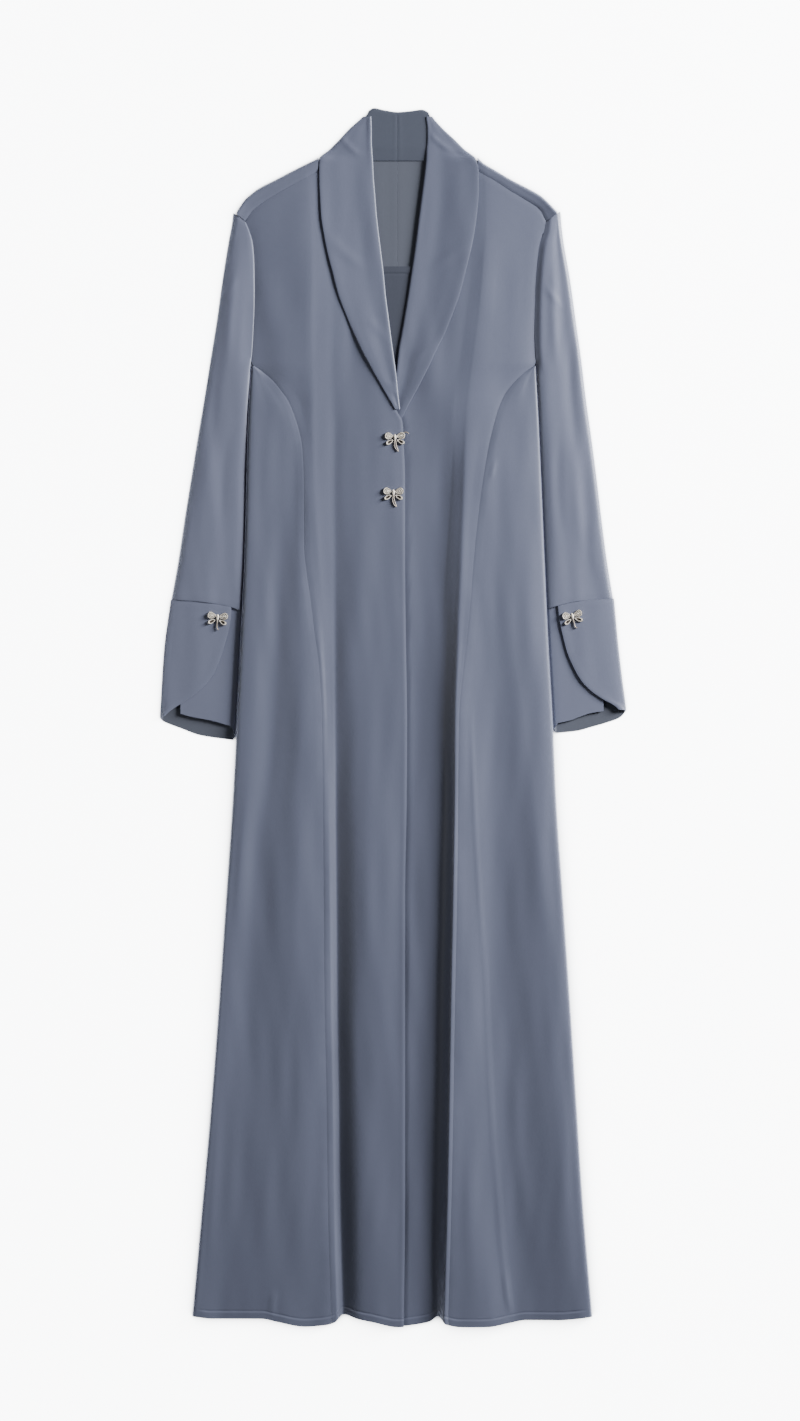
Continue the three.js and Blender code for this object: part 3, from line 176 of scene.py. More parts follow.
SIDE_FRONT = {
    "right": table(
        "y top valley ridge", (431, -172, -171, -167), (409, -163, -157, -148),
        (379, -156, -142, -131), (349, -158, -138, -121), (296, -164, -140, -118),
        (211, -167, -140, -118), (101, -171, -144, -114), (-4, -176, -148, -114),
        (-104, -184, -158, -115), (-229, -200, -176, -116), (-416, -214, -184, -116),
        (-604, -228, -200, -119), (-748, -240, -214, -138)),
    "left": table(
        "y top valley ridge", (431, 174, 173, 169), (409, 165, 160, 152), (379, 164, 150, 139),
        (349, 164, 145, 131), (296, 160, 136, 123), (246, 154, 128, 116), (96, 152, 126, 104),
        (-4, 165, 126, 98), (-104, 178, 127, 95), (-229, 190, 125, 93), (-416, 199, 133, 96),
        (-604, 216, 143, 104), (-748, 232, 158, 120)),
}
SIDE_HEIGHT = {
    "right": table(
        "y round top valley ridge", (431, 1.6, 1.6, 1.6, 1.2), (379, 3.6, 4.4, 4.2, 3.6),
        (296, 4.8, 5.2, 4.6, 5.2), (246, 4.8, 5.0, 4.6, 6.0), (96, 6.2, 6.6, 4.8, 7.6),
        (-4, 6.4, 6.6, 4.6, 8.0), (-229, 6.4, 6.8, 5.2, 8.1), (-416, 6.2, 6.4, 4.4, 7.4),
        (-604, 6.2, 6.4, 5.4, 7.7), (-748, 5.8, 6.0, 4.8, 5.8)),
    "left": table(
        "y round top valley ridge", (431, 1.6, 1.6, 1.6, 1.2), (379, 3.6, 4.4, 5.2, 5.6),
        (296, 4.8, 6.8, 7.8, 8.2), (246, 5.2, 7.4, 7.8, 8), (96, 7.6, 9.8, 8.4, 10.6),
        (-4, 8.6, 10.6, 8.4, 11.8), (-229, 11, 12.8, 8.6, 12.8), (-416, 11.4, 12.8, 8, 12.6),
        (-604, 11.2, 12.4, 7.4, 12), (-748, 9, 9.8, 5.8, 9.6)),
}

HEM_WAVE = table(
    "x drop", (-251, 0), (-224, 3), (-164, 3), (-144, 7), (-110, 13), (-84, 11), (-73, 8),
    (-62, -2), (-44, 3), (-24, 7), (6, 13), (26, 11), (46, 7), (56, 0), (66, 9.5), (86, 13),
    (116, 13), (146, 8), (166, 4.5), (206, 4.5), (226, 3), (249, 0))

COLLAR = {
    "right": table(
        "y outer roll", (384, 2.5, 9), (400, -7, 7), (425, -21.5, 4.5), (451, -36, 1),
        (477, -48.5, -2.5), (504, -60, -6), (527, -68.5, -9), (554, -75.5, -11.5),
        (579, -82, -14.5), (599, -86, -17), (625, -90, -20), (650, -91.5, -22), (675, -92.5, -24),
        (696, -92.5, -25), (709, -79, -26), (721, -67, -26.5), (734, -55, -26.5),
        (750, -37.5, -27), (758, -31, -27)),
    "left": table(
        "y outer roll", (338, -6, -13), (350, -1, -10.5), (377, 13.5, -5), (390, 20, -2.5),
        (411, 31.5, 1), (434, 43.5, 4), (459, 55, 7), (481, 66, 11), (510, 77.5, 16),
        (532, 85, 19.5), (562, 92.5, 24), (586, 98.5, 27.5), (610, 103, 30.5), (634, 106, 33.5),
        (657, 107.5, 36.5), (681, 107.5, 39.5), (696, 104, 41), (709, 89, 41.5), (721, 77, 42.5),
        (734, 63, 42.5), (750, 49, 41), (758, 45, 41)),
}
COLLAR_WRAP_Y = 697.0
BACK_NECK = 70.0  # added to a collar half's length for the stretch round the neck
COLLAR_END_Y = 750.0
COLLAR_TOP = table(
    "x y", (-33, 755), (-24, 761), (-12, 758.5), (6, 756), (24, 757.5), (36, 759), (47, 754))

SLEEVE = {
    "right": table(
        "y outer", (631, -199.5), (617.5, -201), (596, -205), (546, -213), (496, -220), (446, -228),
        (396, -236), (346, -244.5), (296, -252.5), (246, -260.5), (196, -268), (140, -278)),
    "left": table(
        "y outer", (631, 209), (617.5, 210), (596, 212.5), (546, 221), (496, 228), (446, 235),
        (396, 241), (346, 248), (296, 254.5), (246, 260.5), (196, 267), (140, 276)),
}
CUFF_SEAM = {
    "right": table("x y", (-278, 146.5), (-248, 144.5), (-216, 140.5), (-202, 137), (-186, 131)),
    "left": table("x y", (191, 134), (206, 139), (222.5, 143), (238.5, 145.5), (277, 148)),
}
CAP_SLOPE = 0.75
SLEEVE_Z = {
    "right": {"outer": 6.5, "middle": 6.1, "inner": 4.8},
    "left": {"outer": 5.4, "middle": 6.8, "inner": 6.6},
}
SLEEVE_TURN = {"right": 5, "left": 3}  # width of the rise at the sleeve's outer edge
SLEEVE_FOLD = {"right": 1.4, "left": 8}  # how far from the body the sleeve's inner fold runs
BODY_GAP = 0.8

CUFF = {
    "right": {
        "outer": table("y x", (147, -277.5), (85, -286), (0, -291.3), (-30, -293)),
        "inner": table("y x", (131, -186.5), (85, -189), (37, -192), (-30, -195.5)),
        "flap": table(
            "y x", (147, -202), (127, -202), (116, -204), (104, -206.5), (88, -211), (70, -217),
            (54, -224), (41, -234), (28, -248), (16, -265.5), (7, -279), (0, -286)),
        "under_end": -265.5,
        "flap_tip": 1.0,
        "under_hem": table("x y", (-265.5, 4), (-248, -0.5), (-227, -4.5), (-211, -9), (-190, -16)),
        "back_hem": table("x y", (-294, -1), (-286, -6), (-265.5, -14), (-240, -23), (-190, -30)),
    },
    "left": {
        "outer": table("y x", (148, 276), (92, 281.5), (53, 286), (9, 291.3), (-20, 293)),
        "inner": table("y x", (134, 191), (85, 194.5), (45, 197.5), (-21, 200.5)),
        "flap": table(
            "y x", (148, 205), (121, 208), (102, 212), (81, 217.5), (61, 226), (45, 235.5),
            (32, 248), (22, 262.5), (14, 277), (8, 283)),
        "under_end": 263.0,
        "flap_tip": 9.0,
        "under_hem": table("x y", (263, 7.5), (248, 5), (235, 1), (222, -4), (196, -9.5)),
        "back_hem": table(
            "x y", (292, 8), (283, -1), (267, -7), (248, -12.5), (229, -17.5), (196, -20.5)),
    },
}
CUFF_SPAN = (140, -10)  # from its seam to its hem, where the search for its edges starts
UNDER_FLAP_Z = 3.8
FLAP_Z = UNDER_FLAP_Z + CLOTH + 2 * LIFT + 0.6
FLAP_TILT = {"right": (-1.4, -0.3, 0.0), "left": (-0.9, -0.1, 0.2)}  # outer edge, middle, free edge

# Creases and soft wrinkles: a line from (x1, y1) to (x2, y2), how wide it is on each side, and
# how far it rises (+) or dips (-) in the middle of its length. The line bows to one side by a
# share of its length, up to a limit.
CREASE_BOW = 0.04
CREASE_BOW_MOST = 2.5
BODY_CREASES = table(
    "x1 y1 x2 y2 width up",
    (-137.5, 646, -127.5, 484, 3.2, -0.7), (141, 661, 137.5, 461, 3.2, -0.7),
    (151, 622, 146, 549, 3.0, 0.6), (-171, 409, -169, 353, 3.0, -0.6),
    (128, 319, 122.5, 296, 3.0, 0.5), (-160, 560, -150, 470, 9, 0.7), (120, 600, 112, 500, 10, 0.7),
    (-150, 250, -158, 60, 9, 0.6), (170, 240, 176, 30, 10, 0.7), (-40, 250, -30, 40, 11, 0.5),
    (-25, -60, -35, -330, 12, 0.6), (20, -120, 26, -400, 9, 0.5), (-175, -40, -190, -300, 12, 0.8),
    (185, -60, 196, -330, 12, 0.8), (-120, -330, -128, -560, 10, -0.7), (150, -420, 166, -640, 9, 0.8),
    (-190, -420, -205, -660, 12, 0.8), (210, -430, 224, -660, 10, 0.7), (-30, -480, -22, -700, 12, 0.6),
    (97, 10, 116, -340, 2.2, 0.5), (114, -290, 131, -610, 2.2, 0.5), (128, -550, 146, -748, 2.4, 0.6),
    (140, -690, 149, -748, 3.0, 0.7), (-148, -716, -150, -752, 3.0, 0.8), (95, -540, 104, -745, 8, 0.6))
COLLAR_CREASES = table(
    "x1 y1 x2 y2 width up",
    (-68, 728, -40, 700, 3.5, 0.6), (46, 728, 74, 706, 3.5, 0.6), (-80, 600, -35, 560, 7, 0.5),
    (95, 590, 45, 555, 7, 0.5), (-30, 500, -8, 470, 6, 0.4), (60, 470, 20, 440, 6, 0.4))
SLEEVE_CREASES = table(
    "x1 y1 x2 y2 width up",
    (-196, 560, -206, 440, 6, 0.6), (-215, 470, -226, 330, 7, -0.6), (-228, 350, -240, 200, 8, 0.7),
    (-205, 360, -214, 230, 6, -0.5), (-252, 260, -262, 170, 6, 0.5), (200, 560, 206, 430, 6, 0.6),
    (222, 480, 228, 330, 7, -0.6), (225, 350, 238, 200, 8, 0.7), (205, 340, 212, 220, 6, -0.5),
    (250, 250, 256, 170, 6, 0.5), (-196, 545, -212, 520, 4, 0.5), (190, 540, 210, 512, 4, 0.5))


# ---------------------------------------------------------------------------------------------
# Curves and walls
# ---------------------------------------------------------------------------------------------

def lerp(a, b, share):
    return a + (b - a) * share


def smoothstep(x, low, high):
    t = np.clip((x - low) / (high - low), 0, 1)
    return t * t * (3 - 2 * t)


def smooth(rows, key, name):
    """Smooth curve through one column of a table, with no overshoot between its rows."""
    order = np.argsort(rows[key])
    at, value = rows[key][order], rows[name][order]
    grade = np.diff(value) / np.diff(at)
    before, after = np.append(grade[:1], grade), np.append(grade, grade[-1:])
    total = np.where(before + after == 0, 1, before + after)
    slope = np.where(before * after > 0, 2 * before * after / total, 0)

    def line(place):
        t = np.clip(place, at[0], at[-1])
        i = np.clip(np.searchsorted(at, t, side="right") - 1, 0, len(at) - 2)
        span = at[i + 1] - at[i]
        u = (t - at[i]) / span
        v = 1 - u
        return (v * v * ((1 + 2 * u) * value[i] + u * span * slope[i])
                + u * u * ((1 + 2 * v) * value[i + 1] - v * span * slope[i + 1]))
    return line


def steps_for(control, pitch, least=2):
    """Number of steps in each stretch of a section, from the mean length of the stretch."""
    points = np.stack([np.stack(np.broadcast_arrays(x, z), -1) for x, z in control], 1)
    length = np.linalg.norm(np.diff(points, axis=1), axis=2).mean(0)
    return [max(least, math.ceil(one / pitch)) for one in length]


def section(control, steps):
    """Points of a section for every row: a smooth line through its control points (x, z).

    The steps are closer together beside both ends, where the seams and hems are.
    """
    points = np.stack([np.stack(np.broadcast_arrays(x, z), -1) for x, z in control], 1)
    before = 2 * points[:, :1] - points[:, 1:2]
    after = 2 * points[:, -1:] - points[:, -2:-1]
    knots = np.concatenate([before, points, after], 1)
    gaps = np.sqrt(np.linalg.norm(np.diff(knots, axis=1), axis=2))[..., None]
    gaps = np.where(gaps < 1e-4, 1.0, gaps)
    line = []
    for i, count in enumerate(steps):
        p0, p1, p2, p3 = (knots[:, i + k] for k in range(4))
        d0, d1, d2 = (gaps[:, i + k] for k in range(3))
        t1 = ((p1 - p0) / d0 - (p2 - p0) / (d0 + d1) + (p2 - p1) / d1) * d1
        t2 = ((p2 - p1) / d1 - (p3 - p1) / (d1 + d2) + (p3 - p2) / d2) * d1
        for k in range(0 if i == 0 else 1, count + 1):
            u = k / count
            if i == 0:
                u = u ** 1.5
            elif i == len(steps) - 1:
                u = 1 - (1 - u) ** 1.5
            line.append(
                (2 * p1 - 2 * p2 + t1 + t2) * u ** 3 + (-3 * p1 + 3 * p2 - 2 * t1 - t2) * u ** 2
                + t1 * u + p1)
    line = np.stack(line, 1)
    floor = np.minimum(FLOOR_Z, np.minimum(points[:, 0, 1], points[:, -1, 1]))
    line[..., 1] = np.maximum(line[..., 1], floor[:, None])
    return line


def wall(grid, keep=None):
    """Closed wall of CLOTH thickness on a grid of mid-surface points, with rounded rims.

    Returns vertices, quads, the layer of each quad (0 over, 1 under, 2 rim) and cut coordinates.
    """
    rows, columns = grid.shape[:2]
    kept = np.zeros((rows + 1, columns + 1), bool)
    kept[1:rows, 1:columns] = True if keep is None else keep
    se, ne, sw, nw = kept[1:, 1:], kept[:-1, 1:], kept[1:, :-1], kept[:-1, :-1]
    used = se | ne | sw | nw
    inner = se & ne & sw
    right, left, below, above = se | ne, sw | nw, se | sw, ne | nw
    r, c = np.indices((rows, columns))
    across = grid[r, np.minimum(c + right, columns - 1)] - grid[r, np.maximum(c - left, 0)]
    along = grid[np.minimum(r + below, rows - 1), c] - grid[np.maximum(r - above, 0), c]
    normal = np.cross(across, along)
    normal /= np.maximum(np.linalg.norm(normal, axis=2), 1e-9)[..., None]
    upright = ~inner & (np.abs(normal[..., 2]) > 0.5)
    flat = 0 * normal[..., 2]
    normal[upright] = np.stack([flat, flat, np.sign(normal[..., 2])], -1)[upright]

    def unit(v):
        return v / np.maximum(np.linalg.norm(v, axis=2), 1e-9)[..., None]
    outward = ((left & ~right)[..., None] * unit(across) - (right & ~left)[..., None] * unit(across)
               + (above & ~below)[..., None] * unit(along) - (below & ~above)[..., None] * unit(along))
    outward = unit(outward) * (np.linalg.norm(outward, axis=2) > 0.1)[..., None]
    boundary = used & ~(se & ne & sw & nw)

    number = np.full((rows, columns), -1)
    number[used] = np.arange(used.sum())
    count = used.sum()
    middle = np.full((rows, columns), -1)
    middle[boundary] = 2 * count + np.arange(boundary.sum())
    pulled = grid - outward * RIM
    vertices = np.concatenate([
        (pulled + normal * HALF)[used], (pulled - normal * HALF)[used], grid[boundary]])

    wide, long = (np.linalg.norm(np.diff(grid, axis=axis), axis=2) for axis in (1, 0))
    u = np.concatenate([np.zeros((rows, 1)), np.cumsum(wide, 1)], 1)
    v = np.concatenate([np.zeros((1, columns)), np.cumsum(long, 0)], 0)
    v = np.repeat(v[:, columns // 2:columns // 2 + 1], columns, 1)
    cut = np.stack([u, v], -1)
    cut = np.concatenate([cut[used], cut[used], cut[boundary]])

    cell = kept[1:rows, 1:columns]
    corner = {
        "a": (slice(0, rows - 1), slice(0, columns - 1)), "b": (slice(0, rows - 1), slice(1, columns)),
        "d": (slice(1, rows), slice(1, columns)), "e": (slice(1, rows), slice(0, columns - 1)),
    }
    ring = {k: number[s][cell] for k, s in corner.items()}
    over = np.stack([ring[k] for k in "abde"], 1)
    under = np.stack([ring[k] + count for k in "aedb"], 1)
    around = {
        "ab": kept[0:rows - 1, 1:columns], "bd": kept[1:rows, 2:columns + 1],
        "de": kept[2:rows + 1, 1:columns], "ea": kept[1:rows, 0:columns - 1],
    }
    quads, layer = [over, under], [np.zeros(len(over), int), np.ones(len(under), int)]
    for pair, neighbour in around.items():
        open_side = cell & ~neighbour
        start, end = (number[corner[k]][open_side] for k in pair)
        mid_start, mid_end = (middle[corner[k]][open_side] for k in pair)
        quads += [np.stack([end, start, mid_start, mid_end], 1),
                  np.stack([mid_end, mid_start, start + count, end + count], 1)]
        layer += [np.full(len(start), 2)] * 2
    return vertices, np.concatenate(quads), np.concatenate(layer), cut


def cut_size(grid, keep=None):
    """Width, length and area in metres of the flat cut that a grid of mid-surface points is made of."""
    across = np.linalg.norm(np.diff(grid, axis=1), axis=2)
    along = np.linalg.norm(np.diff(grid, axis=0), axis=2)
    north_west, north_east, south_west, south_east = (
        grid[:-1, :-1], grid[:-1, 1:], grid[1:, :-1], grid[1:, 1:])
    one = np.linalg.norm(np.cross(north_east - north_west, south_west - north_west), axis=2)
    two = np.linalg.norm(np.cross(north_east - south_east, south_west - south_east), axis=2)
    area = (one + two) / 2
    if keep is not None:
        area = area * keep
    return across.sum(1).max() * MM, along.sum(0).max() * MM, area.sum() * MM * MM


def alone(piece):
    bpy.ops.object.select_all(action="DESELECT")
    bpy.context.view_layer.objects.active = piece
    piece.select_set(True)


def normals_outward():
    """Turns the faces of the active piece outward, and leaves edit mode."""
    bpy.ops.object.mode_set(mode="EDIT")
    bpy.ops.mesh.select_all(action="SELECT")
    bpy.ops.mesh.normals_make_consistent(inside=False)
    bpy.ops.object.mode_set(mode="OBJECT")


def cloth_piece(name, parts, half="right", inside=0, cloths=("abaya_satin", "abaya_satin_inside")):
    """One mesh object from (vertices, quads, layers, cut) of one or more closed walls.

    The inside of the cloth is layer 0 or 1 in the right half. The left half is mirrored, so there
    it is the other one. The collar's stand is all in a layer of its own, which takes a darker copy
    of the satin as painted shade.
    """
    inside = inside if half == "right" else 1 - inside
    first = np.cumsum([0] + [len(part[0]) for part in parts])
    vertices = np.concatenate([part[0] for part in parts]) * MM
    quads = np.concatenate([part[1] + base for part, base in zip(parts, first)])
    layers = np.concatenate([part[2] for part in parts])
    cuts = np.concatenate([part[3] for part in parts]) * MM
    slots = np.where(layers == STAND_SHADE_LAYER, 2, layers == inside).astype(np.int32)
    mesh = bpy.data.meshes.new(name)
    mesh.from_pydata(vertices.tolist(), [], quads.tolist())
    # the third slot is the stand's darker copy of the satin, painted shade
    for cloth in (*cloths, "abaya_facing"):
        mesh.materials.append(bpy.data.materials[cloth])
    mesh.polygons.foreach_set("material_index", slots)
    mesh.polygons.foreach_set("use_smooth", np.ones(len(quads), bool))
    coordinates = mesh.uv_layers.new(name="cut")
    loops = np.zeros(len(mesh.loops), np.int32)
    mesh.loops.foreach_get("vertex_index", loops)
    coordinates.data.foreach_set("uv", cuts[loops].astype(np.float32).ravel())
    mesh.update()
    piece = bpy.data.objects.new(name, mesh)
    bpy.context.scene.collection.objects.link(piece)
    alone(piece)
    normals_outward()
    bpy.ops.object.shade_smooth_by_angle(angle=SMOOTH_BELOW)
    return piece


def sewn(piece, node, grid, keep=None, more_length=0, more_area=0):
    """Gives a cloth piece its place in the frame and hides its solid. The width, length and area of its cut
    are worked out, but not kept.
    """
    width, length, area = cut_size(grid, keep)
    length += more_length
    area = min(area + more_area, width * length)
    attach(piece, "root")
    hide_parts(node)


# ---------------------------------------------------------------------------------------------
# Relief of the cloth: creases, waves, seams and hems
# ---------------------------------------------------------------------------------------------

GROOVE_WIDTH = 1.3  # how wide a sewn or pressed line is, on each side of it


def raised(gap, up, width, at=0.0):
    """Soft ridge (+) or groove (-) along a line, where gap is the distance from it."""
    return up * np.exp(-((gap - at) / width) ** 2)


def creases(rows, x, y):
    """Sum of the soft ridges and troughs of a table at places in plan."""
    total = np.zeros_like(x)
    for x1, y1, x2, y2, width, up in zip(*rows.values()):
        dx, dy = x2 - x1, y2 - y1
        length = math.hypot(dx, dy)
        share = ((x - x1) * dx + (y - y1) * dy) / length ** 2
        bow = min(CREASE_BOW * length, CREASE_BOW_MOST) * np.sin(math.pi * np.clip(share, 0, 1))
        off = ((x - x1) * dy - (y - y1) * dx) / length - bow
        fade = smoothstep(share, -0.12, 0.3) * (1 - smoothstep(share, 0.6, 1.12))
        total += raised(off, up * fade, width)
    return total


WAVES = table(
    "across along phase up", (61, 620, 0.4, 0.32), (37, 430, 2.1, 0.17), (23, 360, 4.4, 0.08),
    (97, 310, 1.3, 0.18), (48, 240, 3.0, 0.07), (140, 150, 5.2, 0.08))


def waves(x, y):
    """Slight unevenness of cloth that has been worn and laid down by hand."""
    total = np.zeros_like(x)
    for across, along, phase, up in zip(*WAVES.values()):
        drift = 9 * np.sin(y / 83 + phase)
        rolling = np.sin((x + drift) / across * 2 * math.pi + phase)
        total += up * rolling * np.sin(y / along * 2 * math.pi + 2 * phase)
    return total


def seam_relief(gap, along, sizes, seed=0.0):
    """Groove of a seam, the ridge of its pressed allowance and its slight, uneven pucker."""
    puckers = (np.sin(along / 7.3 + seed) + 0.7 * np.sin(along / 4.1 + 2 * seed + 1)
               + 0.8 * np.sin(along / 15.7 + 3 * seed))
    return (raised(gap, -sizes["groove"], GROOVE_WIDTH) + raised(gap, 0.08, 3.2, at=7)
            + raised(gap, sizes["pucker"] * puckers, 6.5))


def hem_relief(gap, along, sizes):
    """Turned hem: one more layer below the stitch line, and the dip of the stitches."""
    depth = sizes["hem"]
    stitch = 0.75 + 0.25 * np.cos(along * 2 * math.pi / 2.6)
    return (0.3 * (1 - smoothstep(gap, depth - 1.4, depth + 0.6))
            + raised(gap, -0.42 * stitch, 0.9, at=depth)
            + raised(gap, 0.12 * np.sin(along / 9.7), 9))


def lift(grid, amount):
    """Moves a grid up by an amount, but never into the surface that the robe lies on."""
    result = grid.copy()
    result[..., 2] = np.maximum(grid[..., 2] + amount, np.minimum(grid[..., 2], FLOOR_Z))
    return result


# ---------------------------------------------------------------------------------------------
# Body panels
# ---------------------------------------------------------------------------------------------

TOP_STATION = 619.0
BACK_HEM_Y = -745.0
FINE_HEM = 14  # the stretch above the hem that has close rows
ROW_SPACING = {"front": 1.7, "back": 2.4, "sleeve": 1.4}  # in pitches
FRONT_STEPS = [2, 2, 2, 1, 2, 1, 2, 2]  # steps of a front's section where only its height is asked for


def shoulder_share(station):
    return smoothstep(station, 452, TOP_STATION)


def hem_share(station):
    return 1 - smoothstep(station, HEM_Y, -600)


class Half:
    """Half of the robe: its curves, and the places of its stations in plan."""

    def __init__(self, half):
        self.half = half
        self.out = OUTWARD[half]
        self.side = smooth(SIDE[half], "y", "x")
        self.princess = smooth(PRINCESS[half], "y", "x")
        self.shoulder_seam = smooth(SHOULDER[half], "x", "seam")
        self.shoulder_fold = smooth(SHOULDER[half], "x", "fold")
        outermost = np.argmax(self.out * SHOULDER[half]["x"])
        self.tip = SHOULDER[half]["x"][outermost], SHOULDER[half]["fold"][outermost]
        for name in ("crest", "tuck", "trough", "swell", "edge"):
            setattr(self, name, smooth(FRONT[half], "y", name))
        self.up = {name: smooth(HEIGHT[half], "y", name) for name in HEIGHT[half] if name != "y"}
        self.wave = smooth(HEM_WAVE, "x", "drop")
        low = SIDE[half]["y"] < 595
        armhole = {
            "y": np.append([self.tip[1] - BACK_TURN, 612], SIDE[half]["y"][low]),
            "x": np.append([self.tip[0], self.tip[0] - self.out * 12], SIDE[half]["x"][low]),
        }
        self.back_armhole = smooth(armhole, "y", "x")

    def panel_edge(self, y):
        return np.where(y > UNDERARM_Y, self.side(y), self.princess(y))

    def front_y(self, station, x):
        return (station + (self.shoulder_seam(x) - TOP_STATION) * shoulder_share(station)
                - self.wave(x) * hem_share(station))


def crossing(curve, plan, station):
    """Where a curve x(y) crosses a station, whose y depends on x."""
    x = curve(station)
    for _ in range(16):
        x = curve(plan(station, x))
    return x


def rows_between(top, bottom, pitch, fine_bottom=0.0):
    """Stations from top to bottom at a pitch, with close ones over a hem."""
    count = max(2, math.ceil((top - bottom - fine_bottom) / pitch))
    rows = list(np.linspace(top, bottom + fine_bottom, count))
    if fine_bottom:
        rows += list(np.linspace(bottom + fine_bottom, bottom, 15))[1:]
    return np.array(rows)


# From the crest of the big fold down to the trough: the share of the way where the fold is open,
# and how far back under the crest and how far down it goes where the fold is tucked.
FOLD = ((0.2, 0.25, 0.35), (0.45, 0.95, 0.68), (0.75, 0.5, 1.0))
FULL_TUCK = 8  # a tuck of this depth is folded right under
FOLD_REACH = 30
PUFF_REACH = 12
CREST_CAP = 0.12  # how far the line between crest and puff may rise over both
CAP_RELEASE = (-40, 160, 4)  # stations between which the cap goes up by this much


def centre_front_control(h, station):
    """Control points of a centre front, from its outer edge to its free front edge."""
    def place(curve):
        return crossing(curve, h.front_y, station)
    outer = place(h.panel_edge) - h.out * SEAM / 2
    crest, trough, swell, edge = (place(c) for c in (h.crest, h.trough, h.swell, h.edge))
    tuck = h.tuck(station)
    folded = np.clip(tuck / FULL_TUCK, 0, 1)
    z = {name: FRONT_Z + up(station) for name, up in h.up.items()}
    puff = outer - h.out * np.minimum(PUFF_REACH, 0.4 * np.abs(crest - outer))
    reach = np.minimum(FOLD_REACH, np.abs(crest - trough))

    def inward(opened, tucked):
        return crest - h.out * lerp(opened * reach, -tucked * tuck, folded)

    def down(opened, tucked):
        return lerp(z["crest"], z["trough"], lerp(opened, tucked, folded))
    return [
        (outer, z["seam"]), (puff, z["puff"]), (crest, z["crest"]),
        *((inward(share, back), down(share, low)) for share, back, low in FOLD),
        (trough, z["trough"]), (swell, z["swell"]), (edge, z["edge"]),
    ]


def in_plan(h, line, station):
    x, z = line[..., 0], line[..., 1]
    return np.stack([x, h.front_y(station[:, None], x), z], -1)


def centre_front_grid(h, sizes):
    station = rows_between(TOP_STATION, HEM_Y, sizes["pitch"] * ROW_SPACING["front"], FINE_HEM)
    control = centre_front_control(h, station)
    line = section(control, steps_for(control, sizes["pitch"]))
    (puff_x, puff_z), (crest_x, crest_z) = (
        (np.asarray(part)[:, None] for part in control[k]) for k in (1, 2))
    share = (line[..., 0] - crest_x) / (puff_x - crest_x)
    low, high, more = CAP_RELEASE
    cap = lerp(crest_z, puff_z, np.clip(share, 0, 1)) + CREST_CAP
    cap = cap + more * smoothstep(station, low, high)[:, None]
    line[..., 1] = np.where((share > 0) & (share < 1), np.minimum(line[..., 1], cap), line[..., 1])
    grid = in_plan(h, line, station)
    x, y = grid[..., 0], grid[..., 1]
    from_seam = np.abs(x - x[:, :1])
    from_edge = np.abs(x - x[:, -1:])
    from_hem = np.broadcast_to(station[:, None] - HEM_Y, x.shape)
    from_top = np.broadcast_to(TOP_STATION - station[:, None], x.shape)
    relief = (creases(BODY_CREASES, x, y) + waves(x, y) * smoothstep(from_top, 0, 60)
              + seam_relief(from_seam, y, sizes, 0.3) + seam_relief(from_top, x, sizes, 1.1)
              + hem_relief(from_hem, x, sizes))
    if h.half == "right":
        relief += raised(from_edge, 0.1, 2, at=4) + raised(from_edge, -0.35, GROOVE_WIDTH)
    else:
        beside = x - smooth(FRONT["right"], "y", "edge")(y) - 0.4
        away = np.exp(-np.maximum(beside - 2.4, 0) / 18)
        relief += 0.9 * smoothstep(beside, 0, 2.4) * away * (y < 400)
    return lift(grid, relief)


def front_height(h, x, y):
    """Height of a centre front's mid-surface at places in plan."""
    x, y = np.broadcast_arrays(np.asarray(x, float), np.asarray(y, float))
    shape = x.shape
    x, y = x.ravel(), y.ravel()
    low, high = np.full(x.shape, HEM_Y), np.full(x.shape, TOP_STATION)
    for _ in range(24):
        middle = (low + high) / 2
        under = h.front_y(middle, x) < y
        low, high = np.where(under, middle, low), np.where(under, high, middle)
    line = section(centre_front_control(h, low), FRONT_STEPS)
    xa, xb = line[:, :-1, 0], line[:, 1:, 0]
    za, zb = line[:, :-1, 1], line[:, 1:, 1]
    across = (xa - x[:, None]) * (xb - x[:, None]) <= 0
    z = np.where(across, za + (zb - za) * (x[:, None] - xa) / np.where(xb == xa, 1, xb - xa), -1)
    return np.where(z.max(1) >= 0, z.max(1), line[:, -1, 1]).reshape(shape)


def side_front_grid(h, sizes):
    station = rows_between(UNDERARM_Y - 2, HEM_Y, sizes["pitch"] * ROW_SPACING["front"], FINE_HEM)
    side = crossing(h.side, h.front_y, station) - h.out * HALF
    seam = crossing(h.princess, h.front_y, station) + h.out * SEAM / 2
    turn = np.minimum(1.6, 0.2 * np.abs(seam - side))
    point = smoothstep(station, 415, 430)
    at = {name: lerp(crossing(smooth(SIDE_FRONT[h.half], "y", name), h.front_y, station),
                     lerp(side, seam, share), point)
          for name, share in (("top", 0.4), ("valley", 0.6), ("ridge", 0.85))}
    up = {name: FRONT_Z + smooth(SIDE_HEIGHT[h.half], "y", name)(station)
          for name in ("round", "top", "valley", "ridge")}
    if h.half == "left":
        up["round"] -= smoothstep(station, 40, 140) * (1 - 0.9 * smoothstep(station, 300, 380))
    control = [
        (side, 0 * station), (side, 0.5 * up["round"]), (side - h.out * 0.3 * turn, 0.86 * up["round"]),
        (side - h.out * turn, up["round"]), (at["top"], up["top"]), (at["valley"], up["valley"]),
        (at["ridge"], up["ridge"]), (seam, FRONT_Z + h.up["seam"](station)),
    ]
    grid = in_plan(h, section(control, steps_for(control, sizes["pitch"])), station)
    x, y = grid[..., 0], grid[..., 1]
    from_seam = np.abs(x - x[:, -1:])
    from_side = np.abs(x - x[:, :1])
    inside = smoothstep(from_side, 3, 16)
    from_hem = np.broadcast_to(station[:, None] - HEM_Y, x.shape)
    relief = (inside * (creases(BODY_CREASES, x, y) + waves(x, y)) + seam_relief(from_seam, y, sizes, 0.3)
              + inside * hem_relief(from_hem, x, sizes))
    return lift(grid, relief)


